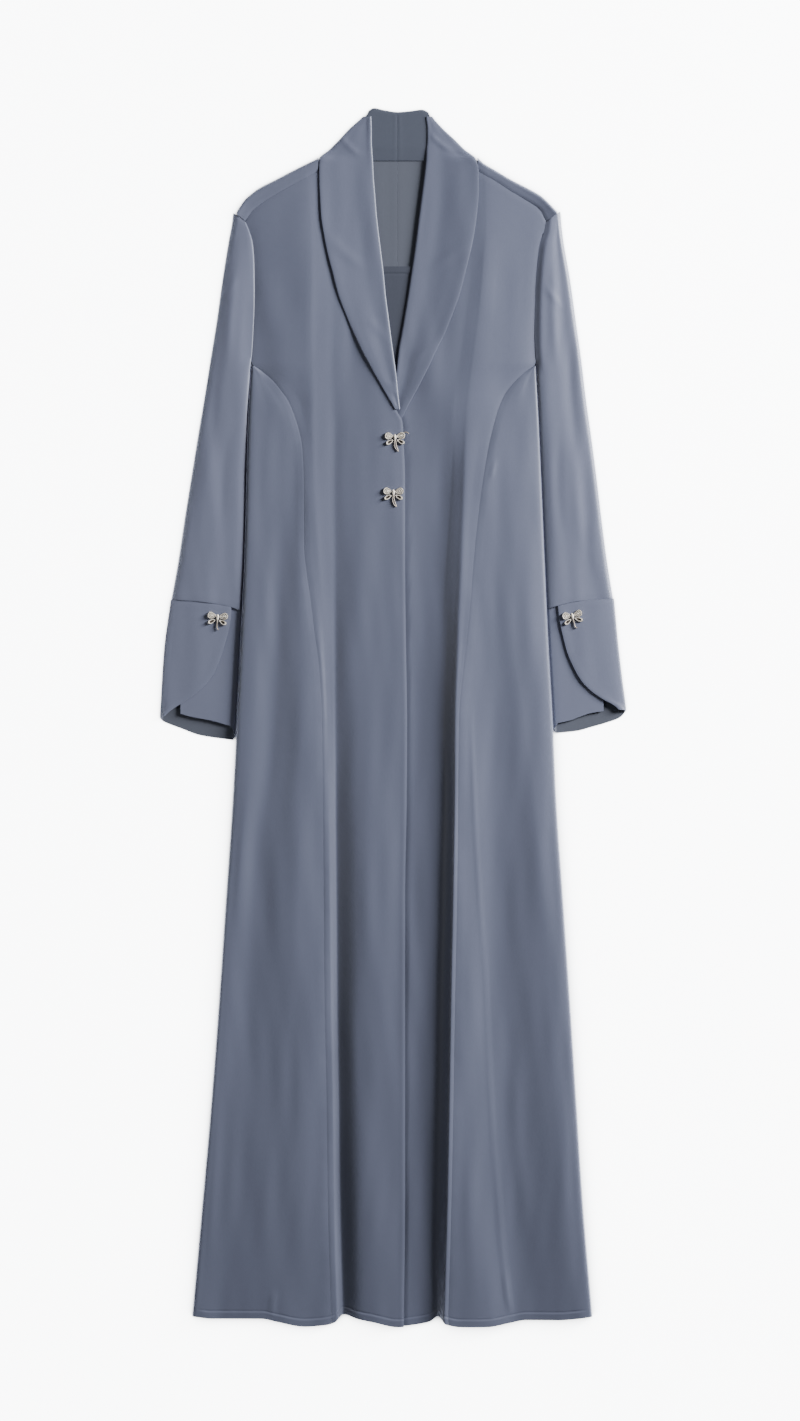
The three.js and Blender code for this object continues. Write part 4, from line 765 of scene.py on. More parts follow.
def back_grid(h, sizes):
    """The back lies flat, turns over the top of the shoulder and comes forward to the seam."""
    out, tip = h.out, h.tip
    neck = NECK_POINT_X[h.half] + out * 0.8

    def back_edge(y):
        inset = lerp(CLOTH + 2.5 * SEAM, 2 * SEAM, smoothstep(y, 425, UNDERARM_Y))
        return h.back_armhole(y) - out * inset

    def top(x):
        return np.where(out * x < out * neck - 0.01, NECK_SEAM_Y, h.shoulder_fold(x) - BACK_TURN)

    def plan(station, x):
        return station + (top(x) - TOP_STATION) * shoulder_share(station)
    first = np.array([TOP_STATION])
    seam_end = section(centre_front_control(h, first), FRONT_STEPS)[0, 0, 0]
    neck_share = (neck - CENTRE_BACK_X) / (tip[0] - CENTRE_BACK_X)
    inner_steps, shoulder_steps = 24, 26
    shares = np.concatenate([
        np.linspace(0, neck_share, inner_steps + 1),
        np.linspace(neck_share, 1, shoulder_steps + 1)[1:]])
    centre = CENTRE_BACK_X + out * SEAM / 2
    station = rows_between(TOP_STATION, BACK_HEM_Y, sizes["pitch"] * ROW_SPACING["back"])[::-1]
    edge = crossing(back_edge, plan, station)
    x = centre + (edge[:, None] - centre) * shares[None, :]
    flat = np.stack([x, plan(station[:, None], x), np.full(x.shape, FLOOR_Z)], -1)
    last = flat[-1]
    rows = [flat]
    turn_steps = 10
    for step in range(1, turn_steps + 1):
        angle = math.pi * step / turn_steps
        rows.append((last + np.array([
            0, BACK_TURN * math.sin(angle), BACK_TURN * (1 - math.cos(angle))]))[None])
    over = np.clip((shares - neck_share) / (1 - neck_share), 0, 1)
    seam_x = neck + (seam_end - neck) * over
    seam_y = h.shoulder_seam(seam_x)
    seam_row = np.stack([seam_x, seam_y + 1.4 * SEAM, front_height(h, seam_x, seam_y)], -1)
    turned = rows[-1][0]
    strip_steps = 7
    for step in range(1, strip_steps + 1):
        share = step / strip_steps
        row = lerp(turned, seam_row, share)
        gap = np.linalg.norm(row - seam_row, axis=1)
        allowance = 0.2 if step < strip_steps else 0
        row[:, 2] += raised(gap, allowance, 3, at=4) + raised(gap, -0.15, GROOVE_WIDTH)
        rows.append(row[None])
    grid = np.concatenate(rows)
    keep = np.zeros((len(grid) - 1, len(shares) - 1), bool)
    keep[:len(flat) - 1] = True
    keep[len(flat) - 1:, inner_steps:] = True
    x, y = grid[..., 0], grid[..., 1]
    from_centre = np.abs(x - centre)
    showing = smoothstep(y, 480, 560) * (grid[..., 2] < 1.0)
    uneven = 0.08 * smoothstep(np.sin(y / 31 + h.out), -1, 1)
    relief = showing * (raised(from_centre, 0.1, 1.8, at=3.5) + raised(np.abs(x), uneven, 9, at=18))
    grid[..., 2] += relief
    return grid, keep


# ---------------------------------------------------------------------------------------------
# Sleeves and cuffs
# ---------------------------------------------------------------------------------------------

SLEEVE_TOP_STATION = 618.0
SLEEVE_BOTTOM_STATION = 147.0


def sleeve_grid(h, sizes):
    out, high = h.out, SLEEVE_Z[h.half]
    outer_curve = smooth(SLEEVE[h.half], "y", "outer")
    cuff_seam = smooth(CUFF_SEAM[h.half], "x", "y")
    start = h.side(np.array([TOP_STATION]))[0]

    def plan(station, x):
        return (station
                + CAP_SLOPE * np.maximum(0, out * (x - start)) * smoothstep(station, 575, SLEEVE_TOP_STATION)
                + (cuff_seam(x) + 2 * SEAM - SLEEVE_BOTTOM_STATION)
                * (1 - smoothstep(station, SLEEVE_BOTTOM_STATION, 205)))
    station = rows_between(
        SLEEVE_TOP_STATION, SLEEVE_BOTTOM_STATION, sizes["pitch"] * ROW_SPACING["sleeve"], 8)
    cap = smoothstep(station, 424, 450)
    inner = crossing(h.side, plan, station) + out * lerp(BODY_GAP + HALF, 2 * SEAM, cap)
    back_armhole = crossing(h.back_armhole, plan, station) + out * SEAM
    back_inner = lerp(inner + out * (HALF + SEAM), back_armhole, cap)
    outer = crossing(outer_curve, plan, station) - out * HALF
    width = np.abs(outer - inner)
    turn = np.minimum(SLEEVE_TURN[h.half], 0.25 * width)
    fold = inner + out * np.minimum(SLEEVE_FOLD[h.half], 0.35 * width)
    inner_z = lerp(0, FRONT_Z + 0.6, cap)
    full = smoothstep(width, 10, 45)
    top_z = lerp(FRONT_Z + 1.6, high["outer"], full)
    control = [
        (back_inner, FLOOR_Z), (lerp(back_inner, outer, 0.5), FLOOR_Z),
        (lerp(outer - out * turn, outer, 0.15), FLOOR_Z), (outer, 2.6 + 0 * station),
        (outer - out * turn, lerp(0.93 * top_z, 4.9, full)), (lerp(outer, fold, 0.35), top_z),
        (lerp(outer, fold, 0.68), lerp(top_z, high["middle"], full)),
        (fold, lerp(top_z, high["inner"], full)),
        (inner + out * lerp(0, 2.4, cap),
         lerp(0.6 * high["inner"], lerp(inner_z, top_z, 0.4), cap)),
        (inner, inner_z),
    ]
    line = section(control, steps_for(control, sizes["pitch"] * 0.9))
    x = line[..., 0]
    grid = np.stack([x, plan(station[:, None], x), line[..., 1]], -1)
    y, z = grid[..., 1], grid[..., 2]
    showing = smoothstep(z, 2.2, 3.6)
    from_inner = np.abs(x - x[:, -1:])
    from_cuff = np.broadcast_to(station[:, None] - SLEEVE_BOTTOM_STATION, x.shape)
    from_top = np.broadcast_to(SLEEVE_TOP_STATION - station[:, None], x.shape)
    sewn_cap = np.broadcast_to(cap[:, None], x.shape)
    relief = showing * (
        creases(SLEEVE_CREASES, x, y) + 0.9 * waves(1.3 * x, y) + seam_relief(from_cuff, x, sizes, 0.9)
        + seam_relief(from_top, x, sizes, 0.2) + sewn_cap * seam_relief(from_inner, y, sizes, 0.6))
    return lift(grid, relief)


def cuff_grid(h, sizes):
    out, cuff = h.out, CUFF[h.half]
    outer_curve, inner_curve, flap_curve = (
        smooth(cuff[name], "y", "x") for name in ("outer", "inner", "flap"))
    under_hem, back_hem = (smooth(cuff[name], "x", "y") for name in ("under_hem", "back_hem"))
    seam = smooth(CUFF_SEAM[h.half], "x", "y")
    share = np.linspace(0, 1, math.ceil((CUFF_SPAN[0] - CUFF_SPAN[1]) / (sizes["pitch"] * 1.1)))

    def place(line, hem):
        x = line(lerp(*CUFF_SPAN, share))
        for _ in range(12):
            x = line(lerp(seam(x), hem(x), share))
        return x

    def tip_hem(x):
        return cuff["flap_tip"] + 0 * x

    def beside(y):
        return out * np.maximum(out * inner_curve(y), out * h.side(y) + BODY_GAP)
    inner = place(beside, back_hem) + out * HALF
    outer = place(outer_curve, tip_hem) - out * HALF
    flap = place(flap_curve, tip_hem)
    free = np.where(out * flap < out * outer - 3.5, flap, outer - out * 3.5)
    under = cuff["under_end"] + 0 * share
    turn = np.minimum(5, 0.3 * np.abs(outer - free))
    outer_tilt, middle_tilt, free_tilt = FLAP_TILT[h.half]

    def mixed(one, two, part):
        return lambda x: lerp(one(x), two(x), part)
    control = [
        (under, UNDER_FLAP_Z, under_hem), (lerp(under, inner, 0.5), UNDER_FLAP_Z, under_hem),
        (inner + out * 5, UNDER_FLAP_Z - 0.4, under_hem),
        (inner, 2.6, mixed(under_hem, back_hem, 0.6)),
        (inner + out * 3, FLOOR_Z, back_hem), (lerp(inner, outer, 0.5), FLOOR_Z, back_hem),
        (outer - out * 3, FLOOR_Z, back_hem), (outer, 3.6, mixed(back_hem, tip_hem, 0.5)),
        (outer - out * turn, FLAP_Z + outer_tilt, tip_hem),
        (lerp(outer, free, 0.6), FLAP_Z + middle_tilt, tip_hem),
        (free, FLAP_Z + free_tilt, tip_hem),
    ]
    flat_control = [(x, z) for x, z, _ in control]
    steps = steps_for(flat_control, sizes["pitch"] * 0.8)
    line = section(flat_control, steps)
    hems, point = [control[0][2](line[:, 0, 0])], 0
    for i, count in enumerate(steps):
        for k in range(1, count + 1):
            point += 1
            x = line[:, point, 0]
            hems.append(lerp(control[i][2](x), control[i + 1][2](x), k / count))
    hems = np.stack(hems, 1)
    x, z = line[..., 0], line[..., 1]
    y = lerp(seam(x), hems, share[:, None])
    grid = np.stack([x, y, z], -1)
    showing = smoothstep(z, 2.8, 3.6)
    from_top = np.abs(seam(x) - y)
    from_free = np.abs(x - x[:, -1:])
    on_flap = z > FLAP_Z - 1.2
    relief = showing * (0.6 * waves(x, y) + seam_relief(from_top, x, sizes, 2.0))
    relief = relief * np.where(on_flap, 1, 0.4)
    pressed = raised(from_free, -0.2, GROOVE_WIDTH) + raised(from_free, 0.06, 2.2, at=6)
    relief += np.where(on_flap, pressed, 0)
    return lift(grid, relief)


# ---------------------------------------------------------------------------------------------
# Shawl collar and neck inset
# ---------------------------------------------------------------------------------------------

def collar_front_grid(h, sizes):
    """Front of a collar half: from the front's edge to the roll line, and back out as the fall."""
    out = h.out
    rows = COLLAR[h.half]
    outer, roll = smooth(rows, "y", "outer"), smooth(rows, "y", "roll")
    y = np.concatenate([
        np.linspace(rows["y"].min(), COLLAR_WRAP_Y, 110),
        np.linspace(COLLAR_WRAP_Y, COLLAR_END_Y, 26)[1:]])
    roll_x, outer_x = roll(y) + out * HALF, outer(y) - out * HALF
    sewn_x = out * h.edge(y) - 3 * SEAM
    under = out * np.where(y > 640, np.minimum(sewn_x, out * lerp(roll_x, outer_x, 0.45)), sewn_x)
    low = FRONT_Z + h.up["edge"](y)
    high = low + 2 * FALL_RADIUS
    turn = np.minimum(FALL_RADIUS, 0.4 * np.abs(under - roll_x) + 0.4)

    def lie(share):
        x = lerp(roll_x, outer_x, share)
        on_front = (out * x > out * h.edge(y)) * (
            1 - smoothstep(y, COLLAR_WRAP_Y - 4, COLLAR_WRAP_Y + 14))
        near = [front_height(h, x + step, np.minimum(y, h.shoulder_seam(x))) for step in (-7, 0, 7)]
        carried = lerp(low, np.max(near, 0) + CLOTH + 2 * LIFT, on_front)
        least = high if share < 0.6 else lerp(high, carried, (share - 0.6) / 0.4)
        return x, np.maximum(carried, least)
    wrapped = smoothstep(y, COLLAR_WRAP_Y - 5, COLLAR_WRAP_Y)
    edge_x, edge_z = lie(1)
    control = [
        (under, low), (roll_x + out * turn, low), (roll_x, low + FALL_RADIUS),
        (roll_x + out * turn, high), lie(0.35), lie(0.7), (edge_x, edge_z),
        (outer_x - out * 0.2 * (1 - wrapped), lerp(edge_z - 0.2, 0.5 * edge_z, wrapped)),
        (outer_x - out * lerp(0.4, 1.5, wrapped), lerp(edge_z - 0.4, FLOOR_Z, wrapped)),
    ]
    steps = steps_for(control, sizes["pitch"] * 0.8)
    line = section(control, steps)
    grid = np.stack([line[..., 0], np.broadcast_to(y[:, None], line.shape[:2]), line[..., 1]], -1)
    fall = sum(steps[:6])
    keep = np.ones((len(y) - 1, line.shape[1] - 1), bool)
    keep[y[:-1] < COLLAR_WRAP_Y - 1, fall:] = False
    x, yy, z = grid[..., 0], grid[..., 1], grid[..., 2]
    fallen = np.zeros(x.shape)
    fallen[:, sum(steps[:3]):fall + 1] = 1
    fallen = fallen * smoothstep(np.abs(x - roll_x[:, None]), 1.5, 7)
    from_edge = np.abs(x - outer_x[:, None])
    free = (1 - wrapped)[:, None]
    relief = fallen * (
        creases(COLLAR_CREASES, x, yy) + 0.8 * waves(x + 40, yy * 1.4)
        + raised(from_edge, -0.12 * free, 1.4) + raised(from_edge, 0.06 * free, 2.4, at=6))
    return lift(grid, relief), keep


def collar_back_grid(h):
    """Back of a collar half: the stand inside the neck, the roll at the top and the fall."""
    out = h.out
    top = smooth(COLLAR_TOP, "x", "y")
    outer = smooth(COLLAR[h.half], "y", "outer")
    low = NECK_SEAM_Y + 2 * SEAM
    path = table(
        "order rise z", (0, 0, INSET_Z), (1, 0.25, FRONT_Z), (2, 0.6, FRONT_Z), (3, 0.97, FRONT_Z),
        (4, 1, FLOOR_Z + ROLL_RADIUS), (5, 0.97, FLOOR_Z), (6, 0.6, FLOOR_Z), (7, 0, FLOOR_Z))
    order = np.concatenate([
        np.linspace(0, 3, 19), np.linspace(3, 5, 9)[1:], np.linspace(5, 7, 9)[1:]])
    rise = np.interp(order, path["order"], path["rise"])
    z = np.interp(order, path["order"], path["z"])
    bend = (order > 3) & (order < 5)
    angle = (order[bend] - 3) / 2 * math.pi
    rise[bend] = 0.97 + 0.03 * np.sin(angle)
    z[bend] = lerp(FRONT_Z, FLOOR_Z, (1 - np.cos(angle)) / 2)
    centre = CENTRE_BACK_X + out * SEAM / 2
    edge = outer(lerp(low, COLLAR_TOP_Y, rise)) - out * 1.2
    share = np.linspace(0, 1, 31)
    x = centre + (edge[:, None] - centre) * share[None, :]
    y = low + (top(x) - HALF - low) * rise[:, None]
    grid = np.stack([x, y, np.broadcast_to(z[:, None], x.shape)], -1)
    shown = (order < 3)[:, None]
    from_centre = np.abs(x - centre)
    from_seam = y - low
    relief = (raised(from_centre, 0.1, 1.6, at=3) + raised(from_centre, -0.08, 1.0)
              + raised(from_seam, 0.14, 1.7, at=5))
    grid[..., 2] += np.where(shown, relief, 0)
    return grid


def inset_grid(sizes):
    pitch = sizes["pitch"] * 1.1
    hem = np.linspace(0, 10, 11)
    below = INSET["top"] - hem[-1]
    tall, wide = below - INSET["bottom"], INSET["left"] - INSET["right"]
    y = np.concatenate([
        INSET["top"] - hem, np.linspace(below, INSET["bottom"], math.ceil(tall / pitch))[1:]])
    x = np.linspace(INSET["right"], INSET["left"], math.ceil(wide / pitch))
    grid = np.stack(np.meshgrid(x, y), -1)
    from_top = INSET["top"] - grid[..., 1]
    relief = (0.35 * (1 - smoothstep(from_top, 7.5, 9.2)) + raised(from_top, -0.3, 0.8, at=8.6)
              + 0.25 * waves(grid[..., 0], grid[..., 1]))
    return np.dstack([grid, INSET_Z + relief])


# ---------------------------------------------------------------------------------------------
# Dragonfly ornaments: looped wings, a knotted body, a tail and a hook, modelled in millimetres
# about the knot and then set down on the cloth
# ---------------------------------------------------------------------------------------------

ORNAMENT_TILT = {
    "dragonfly_front_upper": 2.0, "dragonfly_front_lower": 0.0,
    "dragonfly_cuff_right": -5.0, "dragonfly_cuff_left": 12.0,
}
ORNAMENT_PLACE = {
    "dragonfly_front_upper": (2.5, 348.5), "dragonfly_front_lower": (0.5, 279.5),
    "dragonfly_cuff_right": (-219.0, 124.0), "dragonfly_cuff_left": (224.0, 125.5),
}
WINGS = table(
    "upper x y across along turn", (1, 7.3, 2.1, 5.5, 4.2, 9), (0, 6.7, -5.2, 5.4, 2.5, -29))
TAILS = {
    "front": ((0.3, -3), (0.9, -8), (1.9, -12.5), (3.2, -16), (3.9, -17.4)),
    "cuff": ((0, -3), (0, -7), (0.1, -10.5), (0.5, -13.2), (1.5, -14.9), (2.9, -14.9)),
}
FRONT_LOOP = ((-0.6, -3), (-1.2, -7), (-0.7, -11.5), (1.0, -15.2), (3.0, -17.4))
HOOK = ((7.5, 3.4), (9.6, 5.2), (12, 6.3), (14.6, 6.2), (16.3, 5.1), (17.2, 3.9))

# The wing is a disc with a raised face. Each step into it has a width and a rise (+) or fall (-).
WING_THICK = 0.7
WING_Z = 0.8
WING_TAPER = 0.75
WING_LAP = 0.15  # the upper wings lie this much over the lower ones
WING_FACE = ((0.45, 0), (0.1, 0.8))
WING_CHANNELS = {
    "upper": WING_FACE + (
        (0.85, 0), (0.1, -0.5), (0.85, 0), (0.1, 0.5), (0.7, 0), (0.1, -0.5), (0.7, 0), (0.1, 0.5)),
    "lower": WING_FACE + ((1.4, 0), (0.2, -0.7), (0.6, 0)),
}
RECESS_BELOW = 1.9  # faces that look up from below this height are darkened

WIRE_Z = 1.2
WIRE_DRAFT = 0.94  # how much thinner the wire is at each next point
TAIL_RADIUS = {"front": 0.75, "cuff": 0.95}
LOOP_RADIUS = 0.65
HOOK_RADIUS = 0.9

BEAD = (1.7, 4.0, 1.3)  # half of the knot's width, length and height
BEAD_Y = 0.3
KNOT_Z = 1.4
KNOT_COLLARS = ((1.5, 1.75), (-1.2, 1.7))  # place along the knot, and outer radius
COLLAR_WIRE = 0.42
SUNK = 0.15  # how far an ornament's own zero lies below its solid's underside
CAST_SMOOTH_BELOW = math.radians(50)


def pick_faces(piece, chosen):
    """Selects the faces whose centre and normal pass a test, and opens edit mode."""
    bpy.context.scene.tool_settings.mesh_select_mode = (False, False, True)
    for part in (*piece.data.vertices, *piece.data.edges):
        part.select = False
    for polygon in piece.data.polygons:
        polygon.select = bool(chosen(polygon.center, polygon.normal))
    bpy.ops.object.mode_set(mode="EDIT")


def turn_about(angle, centre=(0, 0, 0)):
    """Turns what is selected anticlockwise, seen from above; the operator itself counts clockwise."""
    bpy.ops.transform.rotate(value=-angle, orient_axis="Z", center_override=centre)


def apply_last(piece):
    """Applies the modifier that a piece has."""
    alone(piece)
    bpy.ops.object.modifier_apply(modifier=piece.modifiers[-1].name)


def bevelled(piece, width):
    bevel = piece.modifiers.new("bevel", "BEVEL")
    bevel.width, bevel.segments = width * MM, 2
    bevel.limit_method, bevel.angle_limit = "ANGLE", 0.5
    apply_last(piece)


def move(x, y, z):
    bpy.ops.transform.translate(value=(x * MM, y * MM, z * MM))


def edit_all():
    bpy.ops.object.mode_set(mode="EDIT")
    bpy.ops.mesh.select_all(action="SELECT")


def engraved_wing(upper, x, y, across, along, turn, side):
    """Flat oval with a raised rim and inner loops, narrower beside the knot."""
    bpy.ops.object.select_all(action="DESELECT")
    bpy.ops.mesh.primitive_cylinder_add(
        vertices=40, radius=across * MM, depth=WING_THICK * MM, location=(0, 0, WING_Z * MM))
    wing = bpy.context.active_object
    bpy.ops.object.transform_apply(location=True, rotation=False, scale=False)
    pick_faces(wing, lambda centre, normal: normal.z > 0.9)
    for inset, rise in WING_CHANNELS["upper" if upper else "lower"]:
        bpy.ops.mesh.inset(thickness=inset * MM, depth=0)
        move(0, 0, rise)
    bpy.ops.object.mode_set(mode="OBJECT")
    for metal in ("antique_silver", "antique_silver_recess"):
        wing.data.materials.append(bpy.data.materials[metal])
    for polygon in wing.data.polygons:
        polygon.material_index = int(polygon.center.z < RECESS_BELOW * MM and polygon.normal.z > 0.4)
    edit_all()
    bpy.ops.transform.resize(value=(1, along / across, 1), center_override=(0, 0, 0))
    bpy.ops.object.mode_set(mode="OBJECT")
    taper = wing.modifiers.new("taper", "SIMPLE_DEFORM")
    taper.deform_method, taper.deform_axis, taper.factor = "TAPER", "X", WING_TAPER * side
    apply_last(wing)
    bevelled(wing, 0.12)
    edit_all()
    turn_about(side * math.radians(turn))
    move(side * x, y, WING_LAP if upper else 0)
    bpy.ops.object.mode_set(mode="OBJECT")
    return wing


def cast_wire(points, radius):
    """Round wire: a disc that is extruded from point to point, turned and tapered to its end."""
    bpy.ops.object.select_all(action="DESELECT")
    places = [Vector((x * MM, y * MM, WIRE_Z * MM)) for x, y in points]
    first = Vector((points[1][0] - points[0][0], points[1][1] - points[0][1], 0))
    bpy.ops.mesh.primitive_circle_add(
        vertices=12, radius=radius * MM, fill_type="NGON", location=places[0],
        rotation=first.to_track_quat("Z", "Y").to_euler())
    ring = bpy.context.active_object
    bpy.ops.object.transform_apply(location=True, rotation=True, scale=True)
    edit_all()
    heading = math.atan2(first.y, first.x)
    for number in range(1, len(points)):
        here, there = points[number - 1], points[number]
        bpy.ops.mesh.extrude_region_move(
            TRANSFORM_OT_translate={"value": ((there[0] - here[0]) * MM, (there[1] - here[1]) * MM, 0)})
        ahead = points[min(number + 1, len(points) - 1)]
        new = math.atan2(ahead[1] - here[1], ahead[0] - here[0])
        turn_about(new - heading, places[number])
        heading = new
        bpy.ops.transform.resize(value=(WIRE_DRAFT,) * 3, center_override=places[number])
    bpy.ops.object.mode_set(mode="OBJECT")
    normals_outward()
    bevelled(ring, 0.3)
    return ring


def knot():
    """Bound body between the wings: a bead with two turned collars."""
    bpy.ops.object.select_all(action="DESELECT")
    bpy.ops.mesh.primitive_uv_sphere_add(segments=24, ring_count=16, radius=MM, location=(0, 0, 0))
    bead = bpy.context.active_object
    edit_all()
    bpy.ops.transform.resize(value=BEAD)
    move(0, BEAD_Y, KNOT_Z)
    bpy.ops.object.mode_set(mode="OBJECT")
    parts = [bead]
    for y, size in KNOT_COLLARS:
        bpy.ops.object.select_all(action="DESELECT")
        bpy.ops.mesh.primitive_torus_add(
            location=(0, y * MM, KNOT_Z * MM), rotation=(math.pi / 2, 0, 0), major_segments=24,
            minor_segments=8, major_radius=(size - 0.45) * MM, minor_radius=COLLAR_WIRE * MM)
        parts.append(bpy.context.active_object)
    return parts


def joined(parts, name):
    bpy.ops.object.select_all(action="DESELECT")
    for part in parts:
        part.select_set(True)
    bpy.context.view_layer.objects.active = parts[0]
    bpy.ops.object.join()
    bpy.ops.object.transform_apply(location=True, rotation=True, scale=True)
    piece = bpy.context.active_object
    piece.name = name
    normals_outward()
    bpy.ops.object.shade_smooth_by_angle(angle=CAST_SMOOTH_BELOW)
    return piece


def dragonfly(name, tail, hook=False):
    wings = [engraved_wing(*row, side) for row in zip(*WINGS.values()) for side in (-1, 1)]
    bound = knot()
    wires = [cast_wire(TAILS[tail], TAIL_RADIUS[tail])]
    if tail == "front":
        wires.append(cast_wire(FRONT_LOOP, LOOP_RADIUS))
    if hook:
        wires.append(cast_wire(HOOK, HOOK_RADIUS))
    for parts, metal in ((bound, "antique_silver"), (wires, "antique_silver_dull")):
        for part in parts:
            part.data.materials.append(bpy.data.materials[metal])
    return joined(wings + bound + wires, name)


def set_down(piece, node):
    """Turns an ornament about its knot and sets it down where its solid lies."""
    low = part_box(node)[0][2]
    alone(piece)
    edit_all()
    turn_about(math.radians(ORNAMENT_TILT[node]))
    move(*ORNAMENT_PLACE[node], low / MM - SUNK)
    bpy.ops.object.mode_set(mode="OBJECT")
    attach(piece, "root")
    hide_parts(node)


# ---------------------------------------------------------------------------------------------
# Materials
# ---------------------------------------------------------------------------------------------

THREADS = 2600.0  # warp threads to the metre of cloth
BROAD_TONE, SLUBS = (9.0, 3.0), (420.0, 2.0)  # noise scale and detail
CAST_PITS, PATINA = (1400.0, 3.0), (420.0, 4.0)
ALONG_THREADS = (1.0, 0.3, 1.0)
SLUB_BUMP, WEAVE_BUMP, PIT_BUMP = (0.08, 0.0003), (0.12, 0.0001), (0.25, 0.0001)  # strength, metres
SHEEN_ROUGHNESS = 0.4


def srgb(red, green, blue):
    """Linear colour from 8-bit sRGB levels."""
    levels = (level / 255 for level in (red, green, blue))
    return tuple(((v + 0.055) / 1.055) ** 2.4 if v > 0.04 else v / 12.92 for v in levels) + (1,)


def made(tree, kind, **defaults):
    """A new node of a tree, with the defaults of its inputs."""
    node = tree.nodes.new(f"ShaderNode{kind}")
    for label, value in defaults.items():
        node.inputs[label.replace("_", " ")].default_value = value
    return node


def worked_out(tree, operation, *values):
    """Output of a Math node, whose inputs are numbers or the outputs of other nodes."""
    node = made(tree, "Math")
    node.operation = operation
    for socket, value in zip(node.inputs, values):
        if isinstance(value, (int, float)):
            socket.default_value = value
        else:
            tree.links.new(value, socket)
    return node.outputs[0]


def ranged(tree, value, **limits):
    node = made(tree, "MapRange", **limits)
    tree.links.new(value, node.inputs["Value"])
    return node


def between(tree, dark, light, share):
    """Colour between two colours, by the output of another node."""
    mix = made(tree, "Mix")
    mix.data_type = "RGBA"
    mix.inputs["A"].default_value = dark
    mix.inputs["B"].default_value = light
    tree.links.new(share, mix.inputs["Factor"])
    return mix.outputs["Result"]


def bumped(tree, height, strength, distance, normal=None):
    node = made(tree, "Bump", Strength=strength, Distance=distance)
    tree.links.new(height, node.inputs["Height"])
    if normal is not None:
        tree.links.new(normal, node.inputs["Normal"])
    return node.outputs["Normal"]


def noises(tree, place, *scales):
    """Outputs of noise textures at a place, one for each (scale, detail)."""
    outputs = []
    for scale, detail in scales:
        noise = made(tree, "TexNoise", Scale=scale, Detail=detail)
        tree.links.new(place, noise.inputs["Vector"])
        outputs.append(noise.outputs["Fac"])
    return outputs


def finish_group(name, *labels):
    """A node group that gives values, and the node that takes them."""
    group = bpy.data.node_groups.new(name, "ShaderNodeTree")
    for label in labels:
        group.interface.new_socket(name=label, in_out="OUTPUT", socket_type="NodeSocketFloat")
    return group, group.nodes.new("NodeGroupOutput")


def weave_group():
    """Fine satin weave on the cut's own coordinates: long floats crossed by tie-down points."""
    group, result = finish_group("SatinWeave", "Height")
    uv, split = made(group, "UVMap"), made(group, "SeparateXYZ")
    uv.uv_map = "cut"
    group.links.new(uv.outputs["UV"], split.inputs[0])

    def ripple(axis, factor):
        scaled = worked_out(group, "MULTIPLY", split.outputs[axis], THREADS * factor)
        return worked_out(group, "SINE", scaled)
    warp, weft = ripple("X", 2 * math.pi), ripple("Y", 2 * math.pi / 5)
    tie = worked_out(group, "MULTIPLY", warp, weft)
    height = worked_out(group, "MULTIPLY_ADD", tie, 0.5, warp)
    group.links.new(height, result.inputs["Height"])
    return group


def tone_group():
    """Slow, uneven change of tone along the threads, and fine slubs."""
    group, result = finish_group("SatinTone", "Tone", "Slub")
    place = made(group, "TexCoord")
    stretch = made(group, "Mapping", Scale=ALONG_THREADS)
    group.links.new(place.outputs["Object"], stretch.inputs["Vector"])
    tone, slub = noises(group, stretch.outputs[0], BROAD_TONE, SLUBS)
    group.links.new(tone, result.inputs["Tone"])
    group.links.new(slub, result.inputs["Slub"])
    return group


def new_material(name):
    """A material's tree and its shader."""
    material = bpy.data.materials.new(name)
    material.use_nodes = True
    return material.node_tree, material.node_tree.nodes["Principled BSDF"]


def cloth_material(name, dark, light, roughness, sheen, specular):
    tree, shader = new_material(name)
    shader.inputs["Specular IOR Level"].default_value = specular
    shader.inputs["Sheen Weight"].default_value = sheen
    shader.inputs["Sheen Roughness"].default_value = SHEEN_ROUGHNESS
    woven, toned = made(tree, "Group"), made(tree, "Group")
    woven.node_tree = bpy.data.node_groups["SatinWeave"]
    toned.node_tree = bpy.data.node_groups["SatinTone"]
    slub = toned.outputs["Slub"]
    rough = ranged(tree, slub, To_Min=roughness - 0.05, To_Max=roughness + 0.05)
    normal = bumped(tree, slub, *SLUB_BUMP)
    normal = bumped(tree, woven.outputs["Height"], *WEAVE_BUMP, normal)
    tree.links.new(between(tree, dark, light, toned.outputs["Tone"]), shader.inputs["Base Color"])
    tree.links.new(rough.outputs[0], shader.inputs["Roughness"])
    tree.links.new(normal, shader.inputs["Normal"])


def metal_material(name, dark, light, metallic, roughness):
    """Cast antique silver: mottled tone and roughness, and the fine pits of the casting."""
    tree, shader = new_material(name)
    shader.inputs["Metallic"].default_value = metallic
    place = made(tree, "TexCoord")
    pits, patina = noises(tree, place.outputs["Object"], CAST_PITS, PATINA)
    spread = ranged(tree, patina, From_Min=0.35, From_Max=0.6)
    rough = ranged(tree, pits, To_Min=roughness - 0.08, To_Max=roughness + 0.1)
    tree.links.new(between(tree, dark, light, spread.outputs[0]), shader.inputs["Base Color"])
    tree.links.new(rough.outputs[0], shader.inputs["Roughness"])
    tree.links.new(bumped(tree, pits, *PIT_BUMP), shader.inputs["Normal"])


# Finish of each cloth (roughness, sheen, specular) and of each metal (metallic, roughness); the
# colours are in AbayaColours, under the same names.
CLOTHS = {
    "abaya_satin": (0.42, 0.08, 0.45), "abaya_satin_sleeve": (0.42, 0.08, 0.45),
    "abaya_facing": (0.6, 0.0, 0.3), "abaya_satin_inside": (0.75, 0.0, 0.2),
    "abaya_inset": (0.6, 0.0, 0.3),
}
METALS = {
    "antique_silver": (0.12, 0.3), "antique_silver_dull": (0.4, 0.4), "antique_silver_recess": (0.3, 0.55),
}


